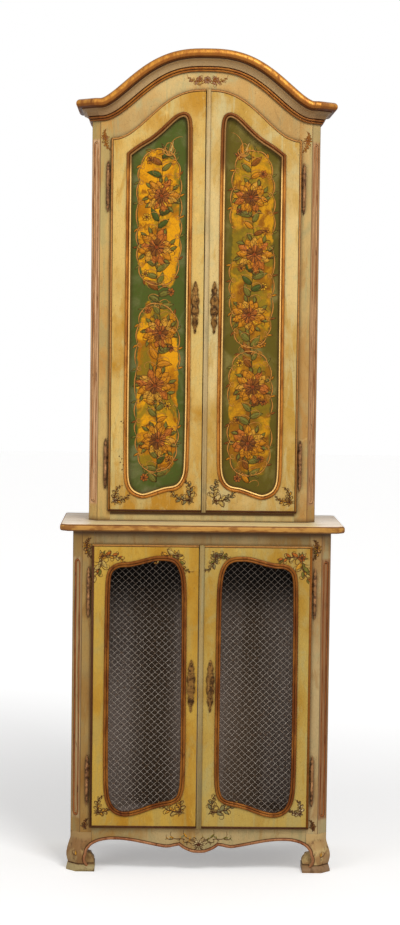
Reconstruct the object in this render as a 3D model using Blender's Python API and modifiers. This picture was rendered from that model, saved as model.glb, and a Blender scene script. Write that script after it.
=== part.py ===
"""Two-part painted cupboard: a base stage with wire-grille doors and a waist top, and a narrower upper
stage with panelled doors under an arched cornice. Metres, +Z up, the doors face -Y, and the origin is on the
floor under the middle of the waist top."""

import math
from collections import namedtuple

import bmesh
import bpy
from mathutils import Matrix, Vector
from mathutils.geometry import interpolate_bezier

# Sizes of the whole
TOTAL_HEIGHT = 2.320
BOARD = 0.020
BACK_BOARD = 0.010
SEAT = 0.0003  # gap between pieces that rest on each other
OVERRUN = 0.010  # how far a cutter runs past what it cuts
FLATNESS = 0.00015  # how far a point may lie off a straight line before an outline keeps it

# Waist top
SLAB_WIDTH = 0.800
SLAB_DEPTH = 0.380
SLAB_THICKNESS = 0.020
SLAB_CORNER = 0.020
SLAB_ROUNDING = 0.007
SLAB_SIDE_OVERHANG = 0.036
SLAB_FRONT_OVERHANG = 0.025
SLAB_BACK_OVERHANG = 0.010

# Base stage
BASE_HEIGHT = 0.967
BASE_CANT = 0.027
BASE_STILE = 0.027  # flat between the canted corner and the door
BASE_POST_DEPTH = 0.045
BASE_DOOR_LOW = 0.1245
BASE_DOOR_TOP_MARGIN = 0.037
BASE_MEETING = -0.0085  # where the two doors meet
BASE_OUTER_MARGIN = 0.038  # from the door's hinged edge to the gilt moulding
BASE_INNER_MARGIN = 0.042  # from the middle of the cupboard to the gilt moulding
BASE_LOW_MARGIN = 0.0335
BASE_HIGH_MARGIN = 0.031
BASE_CANT_LOW = 0.155
BASE_CANT_TOP_MARGIN = 0.080
BASE_ASTRAGAL = 0.0145

# Feet and apron
FOOT_HEIGHT = 0.110
FOOT_WIDTH = 0.0595
FOOT_BULGE = 0.011
FOOT_TOE = 0.010
FOOT_RECESS = 0.006  # face of the toe behind the face of the post
BLOCK_HEIGHT = 0.0185
BLOCK_SPREAD = 0.011
BLOCK_TAPER = 0.005
REAR_FOOT = 0.062  # width of the rear foot that each side board ends in
APRON_DROP = 0.0775

# Upper stage
UPPER_INSET = 0.041  # how much narrower it is than the base, each side
UPPER_SETBACK = 0.120  # from the waist top's front edge to its front
UPPER_CANT = 0.024
UPPER_STILE = 0.0305
UPPER_POST_DEPTH = 0.035
UPPER_DOOR_RAISE = 0.027  # door's lower edge above the waist top
UPPER_MEETING = -0.003
UPPER_OUTER_MARGIN = 0.0435
UPPER_INNER_MARGIN = 0.040
UPPER_LOW_MARGIN = 0.038
UPPER_HIGH_MARGIN = 0.064
UPPER_CANT_LOW_MARGIN = 0.053
UPPER_CANT_TOP_MARGIN = 0.056
UPPER_ASTRAGAL = 0.0130
SHELF_THICKNESS = 0.018
SHELF_SETBACK = 0.040
SHELF_HEIGHTS = (0.360, 0.730)  # above the inside floor

# Cornice, frieze and roof
CORNICE_HEIGHT = 0.061
CORNICE_PROJECTION = 0.046
CORNICE_RISE = 0.142
FRIEZE_HEIGHT = 0.050
DOOR_RISE = 0.139
DOOR_ARCH_SPAN = 0.262
ROOF_THICKNESS = 0.008
ROOF_DROP = 0.011  # roof's underside below the top of the cornice

# Doors
DOOR_LIP = 0.009  # thickness in front of the frame
DOOR_TONGUE = 0.012  # thickness inside the opening
LAP = 0.006  # how far the lip covers the frame
FIT = 0.002  # play round the tongue
MEETING_GAP = 0.002
MOULDING_FACE = 0.011  # from its outer edge to the edge of the hole
MOULDING_REACH = 0.003  # how far it hangs into the hole
MOULDING_PROUD = 0.005
MOULDING_RETURN = 0.006  # how deep it lines the hole
POCKET_LAP = 0.008
PANEL_THICKNESS = 0.008
ASTRAGAL_PROUD = 0.005
CANT_PANEL_DEPTH = 0.003
BASE_CANT_PANEL = 0.024
UPPER_CANT_PANEL = 0.021

# Wire grille
WIRE = 0.0022
WIRE_PITCH = 0.042

# Hinges
HINGE_HEIGHT = 0.145
HINGE_INSET = 0.136  # centre of a hinge from the end of the door's straight edge
HINGE_OFFSET = 0.0085  # axis outside the door's edge
BARREL_RADIUS = 0.0045
FINIAL = 0.024
PIN_RADIUS = 0.0022
PIN_PLAY = 0.0002
PIN_LENGTH = 0.034
LEAF = 0.002
LEAF_HEIGHT = 0.038
LEAF_BITE = 0.014

# Escutcheons and locks
ESCUTCHEON_WIDTH = 0.023
ESCUTCHEON_HEIGHT = 0.150
ESCUTCHEON_THICKNESS = 0.0025
ESCUTCHEON_CENTRE = 0.027
KEYHOLE_RADIUS = 0.0022
KEYHOLE_SLOT = 0.009
LOCK_WIDTH = 0.034
LOCK_HEIGHT = 0.060
LOCK_DEPTH = 0.012
LOCK_INSET = 0.001  # from the door's meeting edge
BOLT_LENGTH = 0.026
BOLT_HEIGHT = 0.012
BOLT_THICKNESS = 0.004
BOLT_BACK = 0.003  # face of the bolt behind the face of the case

# Outlines, as shares of the sizes that they follow
CORNER = True
BASE_OPENING_SHARES = [
    (0.000, 0.800), (0.012, 0.915), (0.040, 0.945), (0.095, 0.963), (0.170, 0.973), (0.280, 0.975),
    (0.390, 0.982), (0.500, 0.991), (0.610, 0.999), (0.720, 1.000), (0.820, 0.996), (0.900, 0.981),
    (0.955, 0.952), (0.988, 0.905), (1.000, 0.800), (1.000, 0.140), (0.985, 0.098), (0.945, 0.066),
    (0.860, 0.048), (0.730, 0.039), (0.600, 0.028), (0.480, 0.014), (0.360, 0.003), (0.250, 0.000),
    (0.150, 0.009), (0.074, 0.030), (0.022, 0.068), (0.000, 0.150),
]
UPPER_OPENING_SHARES = [
    (0.000, 0.860), (0.000, 0.893, CORNER), (0.060, 0.901), (0.180, 0.916), (0.350, 0.934), (0.475, 0.951),
    (0.600, 0.971), (0.730, 0.991), (0.850, 1.000), (0.940, 0.995), (0.985, 0.980), (1.000, 0.945),
    (1.000, 0.100), (0.975, 0.058), (0.900, 0.034), (0.805, 0.023), (0.650, 0.018), (0.470, 0.008),
    (0.310, 0.000), (0.200, 0.004), (0.090, 0.016), (0.022, 0.038), (0.000, 0.080),
]
APRON_SHARES = [
    (0.000, 1.000), (0.058, 0.986), (0.101, 0.924), (0.150, 0.835), (0.183, 0.737, CORNER), (0.221, 0.762),
    (0.267, 0.803), (0.318, 0.812), (0.419, 0.740), (0.521, 0.661), (0.621, 0.588), (0.723, 0.541),
    (0.824, 0.535), (0.884, 0.563), (0.945, 0.628), (1.000, 0.740, CORNER),
]
FOOT_OUTER_SHARES = [
    (0.000, 1.000, CORNER), (0.000, 0.840), (-0.180, 0.740), (-0.620, 0.610), (-1.000, 0.460),
    (-0.980, 0.350), (-0.600, 0.190), (-0.450, 0.150, CORNER),
]
FOOT_INNER_SHARES = [
    (0.750, 0.150, CORNER), (0.840, 0.210), (0.630, 0.280), (0.120, 0.350), (-0.120, 0.410, CORNER),
    (-1.170, 0.455, CORNER), (-1.080, 0.530), (-0.500, 0.610),
]
FOOT_TOP_SHARES = {
    "front": [(0.000, 0.665, CORNER), (0.000, 1.000, CORNER)],
    "side": [(0.000, 0.680), (0.550, 0.780), (1.300, 0.900), (2.200, 1.000, CORNER)],
}
FOOT_SCROLL_SHARES = [
    (-1.170, 0.455, CORNER), (-1.550, 0.370), (-1.550, 0.290), (-1.250, 0.222), (-0.750, 0.168),
    (-0.520, 0.150, CORNER),
]
BLOCK_FACE_SHARE = 0.35  # of its height, below its tapered part
REAR_FOOT_SHARES = [
    (1.900, 1.000, CORNER), (1.420, 0.960), (1.100, 0.820), (0.960, 0.560), (0.900, 0.000, CORNER),
]
MOULDING_FACE_SHARES = [(0.11, 1.00), (0.30, 0.48), (0.46, 0.86), (0.68, 0.96), (0.90, 0.68)]
MOULDING_INNER_SHARE = 0.40  # of its height, where the rounded face starts over the hole
CORNICE_SHARES = [
    (0.000, 0.000), (0.100, 0.000), (0.155, 0.050), (0.100, 0.105), (0.200, 0.115), (0.240, 0.165),
    (0.190, 0.215), (0.280, 0.230), (0.300, 0.340), (0.400, 0.460), (0.600, 0.535), (0.670, 0.610),
    (0.870, 0.630), (0.975, 0.715), (1.000, 0.800), (0.965, 0.890), (0.870, 0.965), (0.735, 1.000),
    (0.000, 1.000),
]
FINIAL_SHARES = [
    (1.00, 0.00), (0.50, 0.12), (0.95, 0.28), (0.95, 0.42), (0.55, 0.62), (0.35, 0.72), (0.55, 0.86),
]
ESCUTCHEON_SHARES = [
    (0.00, 1.00, CORNER), (0.26, 0.93), (0.14, 0.84), (0.50, 0.76), (0.78, 0.66), (0.50, 0.55), (0.40, 0.47),
    (0.95, 0.34), (1.00, 0.19), (0.70, 0.06), (0.95, -0.08), (0.90, -0.24), (0.45, -0.36), (0.55, -0.48),
    (0.80, -0.58), (0.45, -0.70), (0.18, -0.80), (0.32, -0.90), (0.00, -1.00, CORNER),
]
CORNICE_SPAN_SHARE = 1.003  # of the flat front between the canted corners
CORNICE_POWER = 1.4
DOOR_POWER = 1.3
BASE_KEY_SHARE = 0.505  # height of the escutcheon along its door
UPPER_KEY_SHARE = 0.487
ARCH_STEPS = 26
CORNICE_STEPS = 30
CURVE_STEPS = 2
FACE_ANGLE = math.radians(0.05)  # faces that turn less than this from each other are one flat face
EDGE_ANGLE = math.radians(60)  # an edge that turns more than this is rounded
EDGE_STEPS = 3
ROUND_STEPS = 6  # sides of a half circle
KEYHOLE_MOUTH = math.radians(54)  # where the keyhole's round part opens into its slot, from straight down
BARREL_SIDES = 8

# Places worked out from the sizes
BACK = SLAB_DEPTH / 2 - SLAB_BACK_OVERHANG
UPPER_BOTTOM = BASE_HEIGHT + SLAB_THICKNESS
CORNICE_CROWN = TOTAL_HEIGHT - CORNICE_HEIGHT
CORNICE_SHOULDER = CORNICE_CROWN - CORNICE_RISE
DOOR_CROWN = CORNICE_CROWN - FRIEZE_HEIGHT
DOOR_SHOULDER = DOOR_CROWN - DOOR_RISE

FINISHES = {
    "cream_lacquer": ((0.76, 0.66, 0.38, 1.0), 0.45, 0.0),
    "gilding": ((0.62, 0.33, 0.09, 1.0), 0.38, 0.6),
    "green_lacquer": ((0.09, 0.16, 0.07, 1.0), 0.40, 0.0),
    "waist_paint": ((0.62, 0.50, 0.30, 1.0), 0.50, 0.0),
    "bare_wood": ((0.30, 0.20, 0.12, 1.0), 0.70, 0.0),
    "brass": ((0.50, 0.33, 0.12, 1.0), 0.35, 1.0),
    "hinge_metal": ((0.24, 0.16, 0.08, 1.0), 0.40, 1.0),
    "lock_iron": ((0.18, 0.17, 0.16, 1.0), 0.50, 1.0),
    "wire": ((0.45, 0.43, 0.38, 1.0), 0.45, 1.0),
}

Stage = namedtuple(
    "Stage",
    "name half front bottom cant stile post_depth door_low crown shoulder meeting outer_margin inner_margin"
    " low_margin high_margin shares key_share astragal cant_panel",
)
BASE = Stage(
    "base", SLAB_WIDTH / 2 - SLAB_SIDE_OVERHANG, SLAB_FRONT_OVERHANG - SLAB_DEPTH / 2, 0.0, BASE_CANT,
    BASE_STILE, BASE_POST_DEPTH, BASE_DOOR_LOW, BASE_HEIGHT - BASE_DOOR_TOP_MARGIN,
    BASE_HEIGHT - BASE_DOOR_TOP_MARGIN, BASE_MEETING, BASE_OUTER_MARGIN, BASE_INNER_MARGIN, BASE_LOW_MARGIN,
    BASE_HIGH_MARGIN, BASE_OPENING_SHARES, BASE_KEY_SHARE, BASE_ASTRAGAL, BASE_CANT_PANEL,
)
UPPER = Stage(
    "upper", BASE.half - UPPER_INSET, UPPER_SETBACK - SLAB_DEPTH / 2, UPPER_BOTTOM, UPPER_CANT, UPPER_STILE,
    UPPER_POST_DEPTH, UPPER_BOTTOM + UPPER_DOOR_RAISE, DOOR_CROWN, DOOR_SHOULDER, UPPER_MEETING,
    UPPER_OUTER_MARGIN, UPPER_INNER_MARGIN, UPPER_LOW_MARGIN, UPPER_HIGH_MARGIN, UPPER_OPENING_SHARES,
    UPPER_KEY_SHARE, UPPER_ASTRAGAL, UPPER_CANT_PANEL,
)
SIDES = {"left": -1, "right": 1}


# Scene and finishes
def clear_scene():
    for old in list(bpy.data.objects):
        bpy.data.objects.remove(old)


def new_collection(name):
    collection = bpy.data.collections.new(name)
    bpy.context.scene.collection.children.link(collection)
    return collection


clear_scene()
CUPBOARD = new_collection("two_part_cupboard")
CUTTERS = new_collection("cutters")


def finish(name):
    """The Principled material of one finish, made once."""
    material = bpy.data.materials.get(name)
    if material is None:
        colour, roughness, metallic = FINISHES[name]
        material = bpy.data.materials.new(name)
        material.use_nodes = True
        shader = material.node_tree.nodes["Principled BSDF"]
        shader.inputs["Base Color"].default_value = colour
        shader.inputs["Roughness"].default_value = roughness
        shader.inputs["Metallic"].default_value = metallic
    return material


def add(name, mesh, finish_name):
    """A named piece of the cupboard."""
    piece = bpy.data.objects.new(name, mesh)
    mesh.name = name
    mesh.materials.append(finish(finish_name))
    CUPBOARD.objects.link(piece)
    return piece


def cut(piece, mesh, operation="DIFFERENCE"):
    """Takes a mesh from a piece, or joins it on, with a Boolean and a hidden tool object."""
    tool = bpy.data.objects.new(f"{piece.name}_tool", mesh)
    tool.hide_render = True
    tool.display_type = "WIRE"
    CUTTERS.objects.link(tool)
    boolean = piece.modifiers.new(operation.title(), "BOOLEAN")
    boolean.operation = operation
    boolean.object = tool
    return tool


# Outlines
def smooth_line(points, steps=CURVE_STEPS, closed=True):
    """Points along a curve through the given ones; a point with a third value keeps a sharp corner."""
    count = len(points)
    places = [Vector(point[:2]) for point in points]

    def direction(index, towards):
        before = places[index - 1] if closed or index > 0 else places[index]
        after = places[(index + 1) % count] if closed or index < count - 1 else places[index]
        if len(points[index]) > 2:
            return (places[towards] - places[index]).normalized()
        way = (after - before).normalized()
        return way if towards == (index + 1) % count else -way

    line = []
    for index in range(count if closed else count - 1):
        following = (index + 1) % count
        start, end = places[index], places[following]
        reach = (end - start).length / 3
        knots = [
            start,
            start + direction(index, following) * reach,
            end + direction(following, index) * reach,
            end,
        ]
        line += [Vector(point[:2]) for point in interpolate_bezier(*knots, steps + 1)[:-1]]
    if not closed:
        line.append(places[-1])
    return thinned(line)


def thinned(line):
    """The line without the points that lie on the straight between their neighbours."""
    kept = [line[0]]
    for here, after in zip(line[1:], line[2:] + line[:1]):
        along = after - kept[-1]
        off = abs(along.cross(here - kept[-1])) / along.length
        if off > FLATNESS:
            kept.append(here)
    return kept


def offset(line, distance):
    """A closed outline moved outwards by a distance."""
    area = sum(here.cross(after) for here, after in zip(line, line[1:] + line[:1]))
    turn = math.copysign(1, area)
    moved = []
    for before, here, after in zip(line[-1:] + line[:-1], line, line[1:] + line[:1]):
        first = (here - before).normalized()
        second = (after - here).normalized()
        way = (first + second).normalized()
        outwards = Vector((way.y, -way.x)) * turn
        moved.append(here + outwards * distance / way.dot(first))
    return moved


def spread(start, end, count):
    """Evenly spaced values from start to end."""
    return [start + (end - start) * index / count for index in range(count + 1)]


def arch(x, crown, shoulder, span, power):
    """Height of a bonnet arch at x: level shoulders that rise through an S curve to the crown."""
    share = min(1.0, abs(x) / span) ** power
    return shoulder + (crown - shoulder) * (1 + math.cos(math.pi * share)) / 2


def cornice_arch(x):
    span = (UPPER.half - UPPER.cant) * CORNICE_SPAN_SHARE
    return arch(x, CORNICE_CROWN, CORNICE_SHOULDER, span, CORNICE_POWER)


def arch_places(start, end):
    """The x values from start to end at which every arched edge has its points, with both ends."""
    places = [x for x in spread(-UPPER.half, UPPER.half, ARCH_STEPS) if min(start, end) < x < max(start, end)]
    return [start] + sorted(places, reverse=start > end) + [end]


def roof_underside(x):
    """Height of the roof's underside, which runs straight between the arch places."""
    step = UPPER.half * 2 / ARCH_STEPS
    before = math.floor((x + UPPER.half) / step) * step - UPPER.half
    low, high = cornice_arch(before), cornice_arch(before + step)
    return low + (high - low) * (x - before) / step + CORNICE_HEIGHT - ROOF_DROP - ROOF_THICKNESS


def door_arch(stage, x):
    """Height of a door's upper edge at x: level on the base, arched on the upper stage."""
    return arch(x, stage.crown, stage.shoulder, DOOR_ARCH_SPAN, DOOR_POWER)


def rectangle(low, high):
    return [(low[0], low[1]), (high[0], low[1]), (high[0], high[1]), (low[0], high[1])]


# Meshes
PLANES = {
    "front": Matrix(((1, 0, 0, 0), (0, 0, 1, 0), (0, 1, 0, 0), (0, 0, 0, 1))),
    "side": Matrix(((0, 0, 1, 0), (1, 0, 0, 0), (0, 1, 0, 0), (0, 0, 0, 1))),
    "plan": Matrix.Identity(4),
}


def outward(mesh, whole_faces=False):
    """Welds a mesh and turns its faces out; flat faces made of triangles can be made whole again."""
    work = bmesh.new()
    work.from_mesh(mesh)
    bmesh.ops.remove_doubles(work, verts=work.verts, dist=FLATNESS / 100)
    bmesh.ops.recalc_face_normals(work, faces=work.faces)
    if whole_faces:
        bmesh.ops.dissolve_limit(work, angle_limit=FACE_ANGLE, verts=work.verts, edges=work.edges)
    work.to_mesh(mesh)
    work.free()
    return mesh


def evaluated_mesh(piece):
    """The mesh of a curve or of an object with modifiers; the object itself is removed."""
    bpy.context.view_layer.update()
    graph = bpy.context.evaluated_depsgraph_get()
    mesh = bpy.data.meshes.new_from_object(piece.evaluated_get(graph))
    mesh.transform(piece.matrix_world)
    bpy.data.objects.remove(piece)
    return outward(mesh)


def board(loops, plane, low, high):
    """A flat piece with the given outline and holes, from low to high across its plane."""
    curve = bpy.data.curves.new("outline", "CURVE")
    curve.dimensions = "2D"
    curve.fill_mode = "BOTH"
    curve.extrude = (high - low) / 2
    for loop in loops:
        spline = curve.splines.new("POLY")
        spline.points.add(len(loop) - 1)
        spline.use_cyclic_u = True
        for knot, place in zip(spline.points, loop):
            knot.co = (place[0], place[1], 0, 1)
    flat = bpy.data.objects.new("outline", curve)
    CUTTERS.objects.link(flat)
    mesh = evaluated_mesh(flat)
    mesh.transform(PLANES[plane] @ Matrix.Translation((0, 0, (low + high) / 2)))
    return outward(mesh, whole_faces=True)


def block(low, high, turn=None):
    """A plain rectangular solid between two corners, turned by a matrix if one is given."""
    low, high = Vector(low), Vector(high)
    work = bmesh.new()
    bmesh.ops.create_cube(work, size=1)
    bmesh.ops.scale(work, vec=high - low, verts=work.verts)
    bmesh.ops.translate(work, vec=(low + high) / 2, verts=work.verts)
    if turn is not None:
        bmesh.ops.transform(work, matrix=turn, verts=work.verts)
    mesh = bpy.data.meshes.new("block")
    bmesh.ops.recalc_face_normals(work, faces=work.faces)
    work.to_mesh(mesh)
    work.free()
    return mesh


def loft(rings, closed):
    """A skin over rings of points, one after another, with capped ends unless the last meets the first."""
    work = bmesh.new()
    rows = [[work.verts.new(point) for point in ring] for ring in rings]
    pairs = list(zip(rows, rows[1:] + rows[:1])) if closed else list(zip(rows, rows[1:]))
    for row, following in pairs:
        for index in range(len(row)):
            after = (index + 1) % len(row)
            work.faces.new((row[index], row[after], following[after], following[index]))
    if not closed:
        work.faces.new(rows[0])
        work.faces.new(rows[-1])
    bmesh.ops.recalc_face_normals(work, faces=work.faces)
    mesh = bpy.data.meshes.new("loft")
    work.to_mesh(mesh)
    work.free()
    return mesh


def turned(profile, place):
    """A turned piece: a profile of (radius, height) pairs, top to bottom, spun about its upright axis."""
    work = bmesh.new()
    knots = [work.verts.new((radius, 0, height)) for radius, height in profile]
    for first, second in zip(knots, knots[1:]):
        work.edges.new((first, second))
    mesh = bpy.data.meshes.new("profile")
    work.to_mesh(mesh)
    work.free()
    spindle = bpy.data.objects.new("profile", mesh)
    spindle.location = place
    CUTTERS.objects.link(spindle)
    screw = spindle.modifiers.new("Screw", "SCREW")
    screw.axis = "Z"
    screw.steps = BARREL_SIDES
    screw.render_steps = BARREL_SIDES
    screw.use_merge_vertices = True
    screw.merge_threshold = FLATNESS / 100
    return evaluated_mesh(spindle)


# Corner posts, side boards and backs
def post(stage, side, low, high, panel_low, panel_high):
    """A canted front corner post with a sunk, round-ended panel down its canted face."""
    outer = stage.half * side
    flat = (stage.half - stage.cant) * side
    inner = (door_half(stage) - LAP) * side
    section = [
        (outer, stage.front + stage.post_depth),
        (outer, stage.front + stage.cant),
        (flat, stage.front),
        (inner, stage.front),
        (inner, stage.front + stage.post_depth),
    ]
    name = f"{stage.name}_post_{'left' if side < 0 else 'right'}"
    piece = add(name, board([section], "plan", low, high), "cream_lacquer")
    radius = stage.cant_panel / 2
    turns = spread(0, math.pi, ROUND_STEPS)
    round_end = [(radius * math.cos(turn), radius * math.sin(turn)) for turn in turns]
    outline = [(across, panel_high - radius + up) for across, up in round_end]
    outline += [(-across, panel_low + radius - up) for across, up in round_end]
    sunk = board([outline], "front", -OVERRUN, CANT_PANEL_DEPTH)
    middle = Vector(((outer + flat) / 2, stage.front + stage.cant / 2, 0))
    sunk.transform(Matrix.Translation(middle) @ Matrix.Rotation(math.pi / 4 * side, 4, "Z"))
    cut(piece, sunk)
    for height in hinge_heights(stage):
        centre = hinge_axis(stage, side)
        grown = LEAF / 2 + SEAT
        low_z, high_z = leaf_span(height, -1)
        cut(piece, block(
            (centre.x - grown, centre.y, low_z - SEAT),
            (centre.x + grown, stage.front + LEAF_BITE + SEAT, high_z + SEAT),
        ))
    return piece


def corner_waste(stage, side, low, high):
    """What the cant takes off a square front corner."""
    past = stage.cant
    corner = [
        ((stage.half - stage.cant - past) * side, stage.front - past),
        ((stage.half + past) * side, stage.front + stage.cant + past),
        ((stage.half + past) * side, stage.front - past),
    ]
    return board([corner], "plan", low, high)


def door_half(stage):
    """Half the width of the pair of doors."""
    return stage.half - stage.cant - stage.stile


def side_span(stage, side):
    """The lowest and highest x of a side board."""
    return sorted((stage.half * side, (stage.half - BOARD) * side))


def base_side(name, side):
    """A side board that ends in its own rear foot, with an arched lower edge."""
    front = BASE.front + BASE.post_depth + SEAT
    arch_top = FOOT_HEIGHT + SEAT
    lower = [(BACK - REAR_FOOT * ahead, arch_top * up, *sharp) for ahead, up, *sharp in REAR_FOOT_SHARES]
    outline = [(front, arch_top)] + smooth_line(lower, closed=False)
    outline += [(BACK, 0), (BACK, BASE_HEIGHT - SEAT), (front, BASE_HEIGHT - SEAT)]
    low, high = side_span(BASE, side)
    return add(name, board([outline], "side", low, high), "cream_lacquer")


def upper_side(name, side):
    front = UPPER.front + UPPER.post_depth + SEAT
    low, high = side_span(UPPER, side)
    top = roof_underside(UPPER.half) - SEAT
    outline = rectangle((front, UPPER_BOTTOM + SEAT), (BACK, top))
    return add(name, board([outline], "side", low, high), "cream_lacquer")


def stage_floor(stage, profile):
    """An inside floor with the given front-to-back profile, notched round the corner posts."""
    width = stage.half - BOARD - SEAT
    piece = add(f"{stage.name}_floor", board([profile], "side", -width, width), "bare_wood")
    notch = stage.front + stage.post_depth + SEAT
    inner = door_half(stage) - LAP - SEAT
    for side in SIDES.values():
        low, high = sorted((inner * side, (stage.half + OVERRUN) * side))
        ahead, under = stage.front - OVERRUN, stage.bottom - OVERRUN
        cut(piece, block((low, ahead, under), (high, notch, stage.door_low + BOARD)))
    return piece


def build_base():
    for name, side in SIDES.items():
        base_side(f"base_side_{name}", side)
        panel_high = BASE_HEIGHT - BASE_CANT_TOP_MARGIN
        post(BASE, side, FOOT_HEIGHT + SEAT, BASE_HEIGHT - SEAT, BASE_CANT_LOW, panel_high)
        foot(f"front_foot_{name}", side)
    floor_top = BASE.door_low + LAP
    behind_apron = BASE.front + BOARD + SEAT
    back_front = BACK - BACK_BOARD
    stage_floor(BASE, rectangle((behind_apron, floor_top - BOARD), (back_front - SEAT, floor_top)))
    inside = BASE.half - BOARD - SEAT
    outline = rectangle((-inside, floor_top - BOARD), (inside, BASE_HEIGHT - SEAT))
    add("base_back", board([outline], "front", back_front, BACK), "bare_wood")
    between = door_half(BASE) - LAP - SEAT
    outline = rectangle((-between, BASE.crown - LAP), (between, BASE_HEIGHT - SEAT))
    add("base_top_rail", board([outline], "front", BASE.front, BASE.front + BOARD), "cream_lacquer")
    apron(floor_top, between)
    waist_slab()


def apron(top, between):
    """The scalloped board under the doors, with a rounded pendant between two cusps."""
    right = [(between * across, top - APRON_DROP * down, *sharp) for across, down, *sharp in APRON_SHARES]
    left = [(-across, height, *sharp) for across, height, *sharp in reversed(right[1:])]
    outline = smooth_line(left + right, closed=False) + [(between, top), (-between, top)]
    return add("base_apron", board([outline], "front", BASE.front, BASE.front + BOARD), "cream_lacquer")


def waist_slab():
    """The waist top: canted front corners, an edge rounded at the front and sides, and a square back."""
    half, front, back = SLAB_WIDTH / 2, -SLAB_DEPTH / 2, SLAB_DEPTH / 2
    rear = back + OVERRUN
    outline = [
        (-half, rear),
        (-half, front + SLAB_CORNER),
        (-half + SLAB_CORNER, front),
        (half - SLAB_CORNER, front),
        (half, front + SLAB_CORNER),
        (half, rear),
    ]
    slab = add("waist_slab", board([outline], "plan", BASE_HEIGHT, UPPER_BOTTOM), "waist_paint")
    rounding = slab.modifiers.new("Rounding", "BEVEL")
    rounding.width = SLAB_ROUNDING
    rounding.segments = EDGE_STEPS
    rounding.limit_method = "ANGLE"
    rounding.angle_limit = EDGE_ANGLE
    cut(slab, block(
        (-half - OVERRUN, back, BASE_HEIGHT - OVERRUN),
        (half + OVERRUN, rear + OVERRUN, UPPER_BOTTOM + OVERRUN),
    ))
    return slab


def foot_line(shares, origin, inwards, reach):
    """A line on a foot, from shares of its toe and height counted from a reach inside a face of the post."""
    return [
        (origin + inwards * (reach + FOOT_TOE * out), FOOT_HEIGHT * up, *sharp) for out, up, *sharp in shares
    ]


def foot_profile(view, origin, inwards):
    """A foot's outline as it is sawn from the front or from the side."""
    bulge = inwards * FOOT_BULGE
    outer = [(origin + bulge * out, FOOT_HEIGHT * up, *sharp) for out, up, *sharp in FOOT_OUTER_SHARES]
    inner = foot_line(FOOT_INNER_SHARES + FOOT_TOP_SHARES[view], origin, inwards, FOOT_WIDTH)
    return smooth_line(outer, closed=False) + smooth_line(inner, closed=False)


def toe_waste(origin, inwards, reach):
    """What is carved away over a foot's toe, behind the C scroll that ends its face."""
    scroll = smooth_line(foot_line(FOOT_SCROLL_SHARES, origin, inwards, FOOT_WIDTH), closed=False)
    past = origin + inwards * reach
    return scroll + [Vector((past, scroll[-1].y)), Vector((past, scroll[0].y))]


def foot(name, side):
    """A scrolled foot sawn to the same curves from the front, the side and the corner, on its own block."""
    reach = FOOT_WIDTH + FOOT_TOE * FOOT_TOP_SHARES["side"][-1][0] + OVERRUN
    outer, front = BASE.half * side, BASE.front
    proud = FOOT_BULGE + OVERRUN
    sawn = board([foot_profile("front", outer, -side)], "front", front - proud, front + reach)
    piece = add(name, sawn, "cream_lacquer")
    low, high = sorted((outer + proud * side, outer - reach * side))
    cut(piece, board([foot_profile("side", front, 1)], "side", low, high), "INTERSECT")
    cut(piece, board([toe_waste(outer, -side, reach)], "front", front - proud, front + FOOT_RECESS))
    low, high = sorted((outer + proud * side, outer - FOOT_RECESS * side))
    cut(piece, board([toe_waste(front, 1, reach)], "side", low, high))
    cut(piece, foot_corner_waste(side))
    cut(piece, foot_block(side), "UNION")
    return piece


def foot_corner_waste(side):
    """What the cant takes off a foot's corner, with the same bulge as its faces."""
    past = BASE.cant + FOOT_BULGE * 2
    bulge = [(-FOOT_BULGE * out, FOOT_HEIGHT * up, *sharp) for out, up, *sharp in FOOT_OUTER_SHARES]
    edge = smooth_line(bulge, closed=False)
    outline = [Vector((edge[0].x, FOOT_HEIGHT + OVERRUN))] + edge + [Vector((edge[-1].x, -OVERRUN))]
    outline += [Vector((past, -OVERRUN)), Vector((past, FOOT_HEIGHT + OVERRUN))]
    waste = board([outline], "front", -past, past)
    middle = Vector(((BASE.half - BASE.cant / 2) * side, BASE.front + BASE.cant / 2, 0))
    waste.transform(Matrix.Translation(middle) @ Matrix.Rotation(math.atan2(-1, side), 4, "Z"))
    return waste


def foot_block(side):
    """The small block under a foot, tapered above its face, its front corner canted like the post."""
    inwards = FOOT_WIDTH + FOOT_TOE

    def ring(grow, height):
        outer = (BASE.half + grow) * side
        inner = (BASE.half - inwards) * side
        front = BASE.front - grow
        rear = BASE.front + inwards
        edge = BASE.cant
        return [
            (outer, front + edge, height), (outer - edge * side, front, height), (inner, front, height),
            (inner, rear, height), (outer, rear, height),
        ]

    top = max(BLOCK_HEIGHT, FOOT_HEIGHT * FOOT_OUTER_SHARES[-1][1] + SEAT * 2)
    rings = [
        ring(BLOCK_SPREAD, 0),
        ring(BLOCK_SPREAD, top * BLOCK_FACE_SHARE),
        ring(BLOCK_SPREAD - BLOCK_TAPER, top),
    ]
    return loft(rings, closed=False)


# Upper stage
def arched_edge(height, half):
    """Points from left to right along an arched edge."""
    return [(x, height(x)) for x in arch_places(-half, half)]


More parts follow.
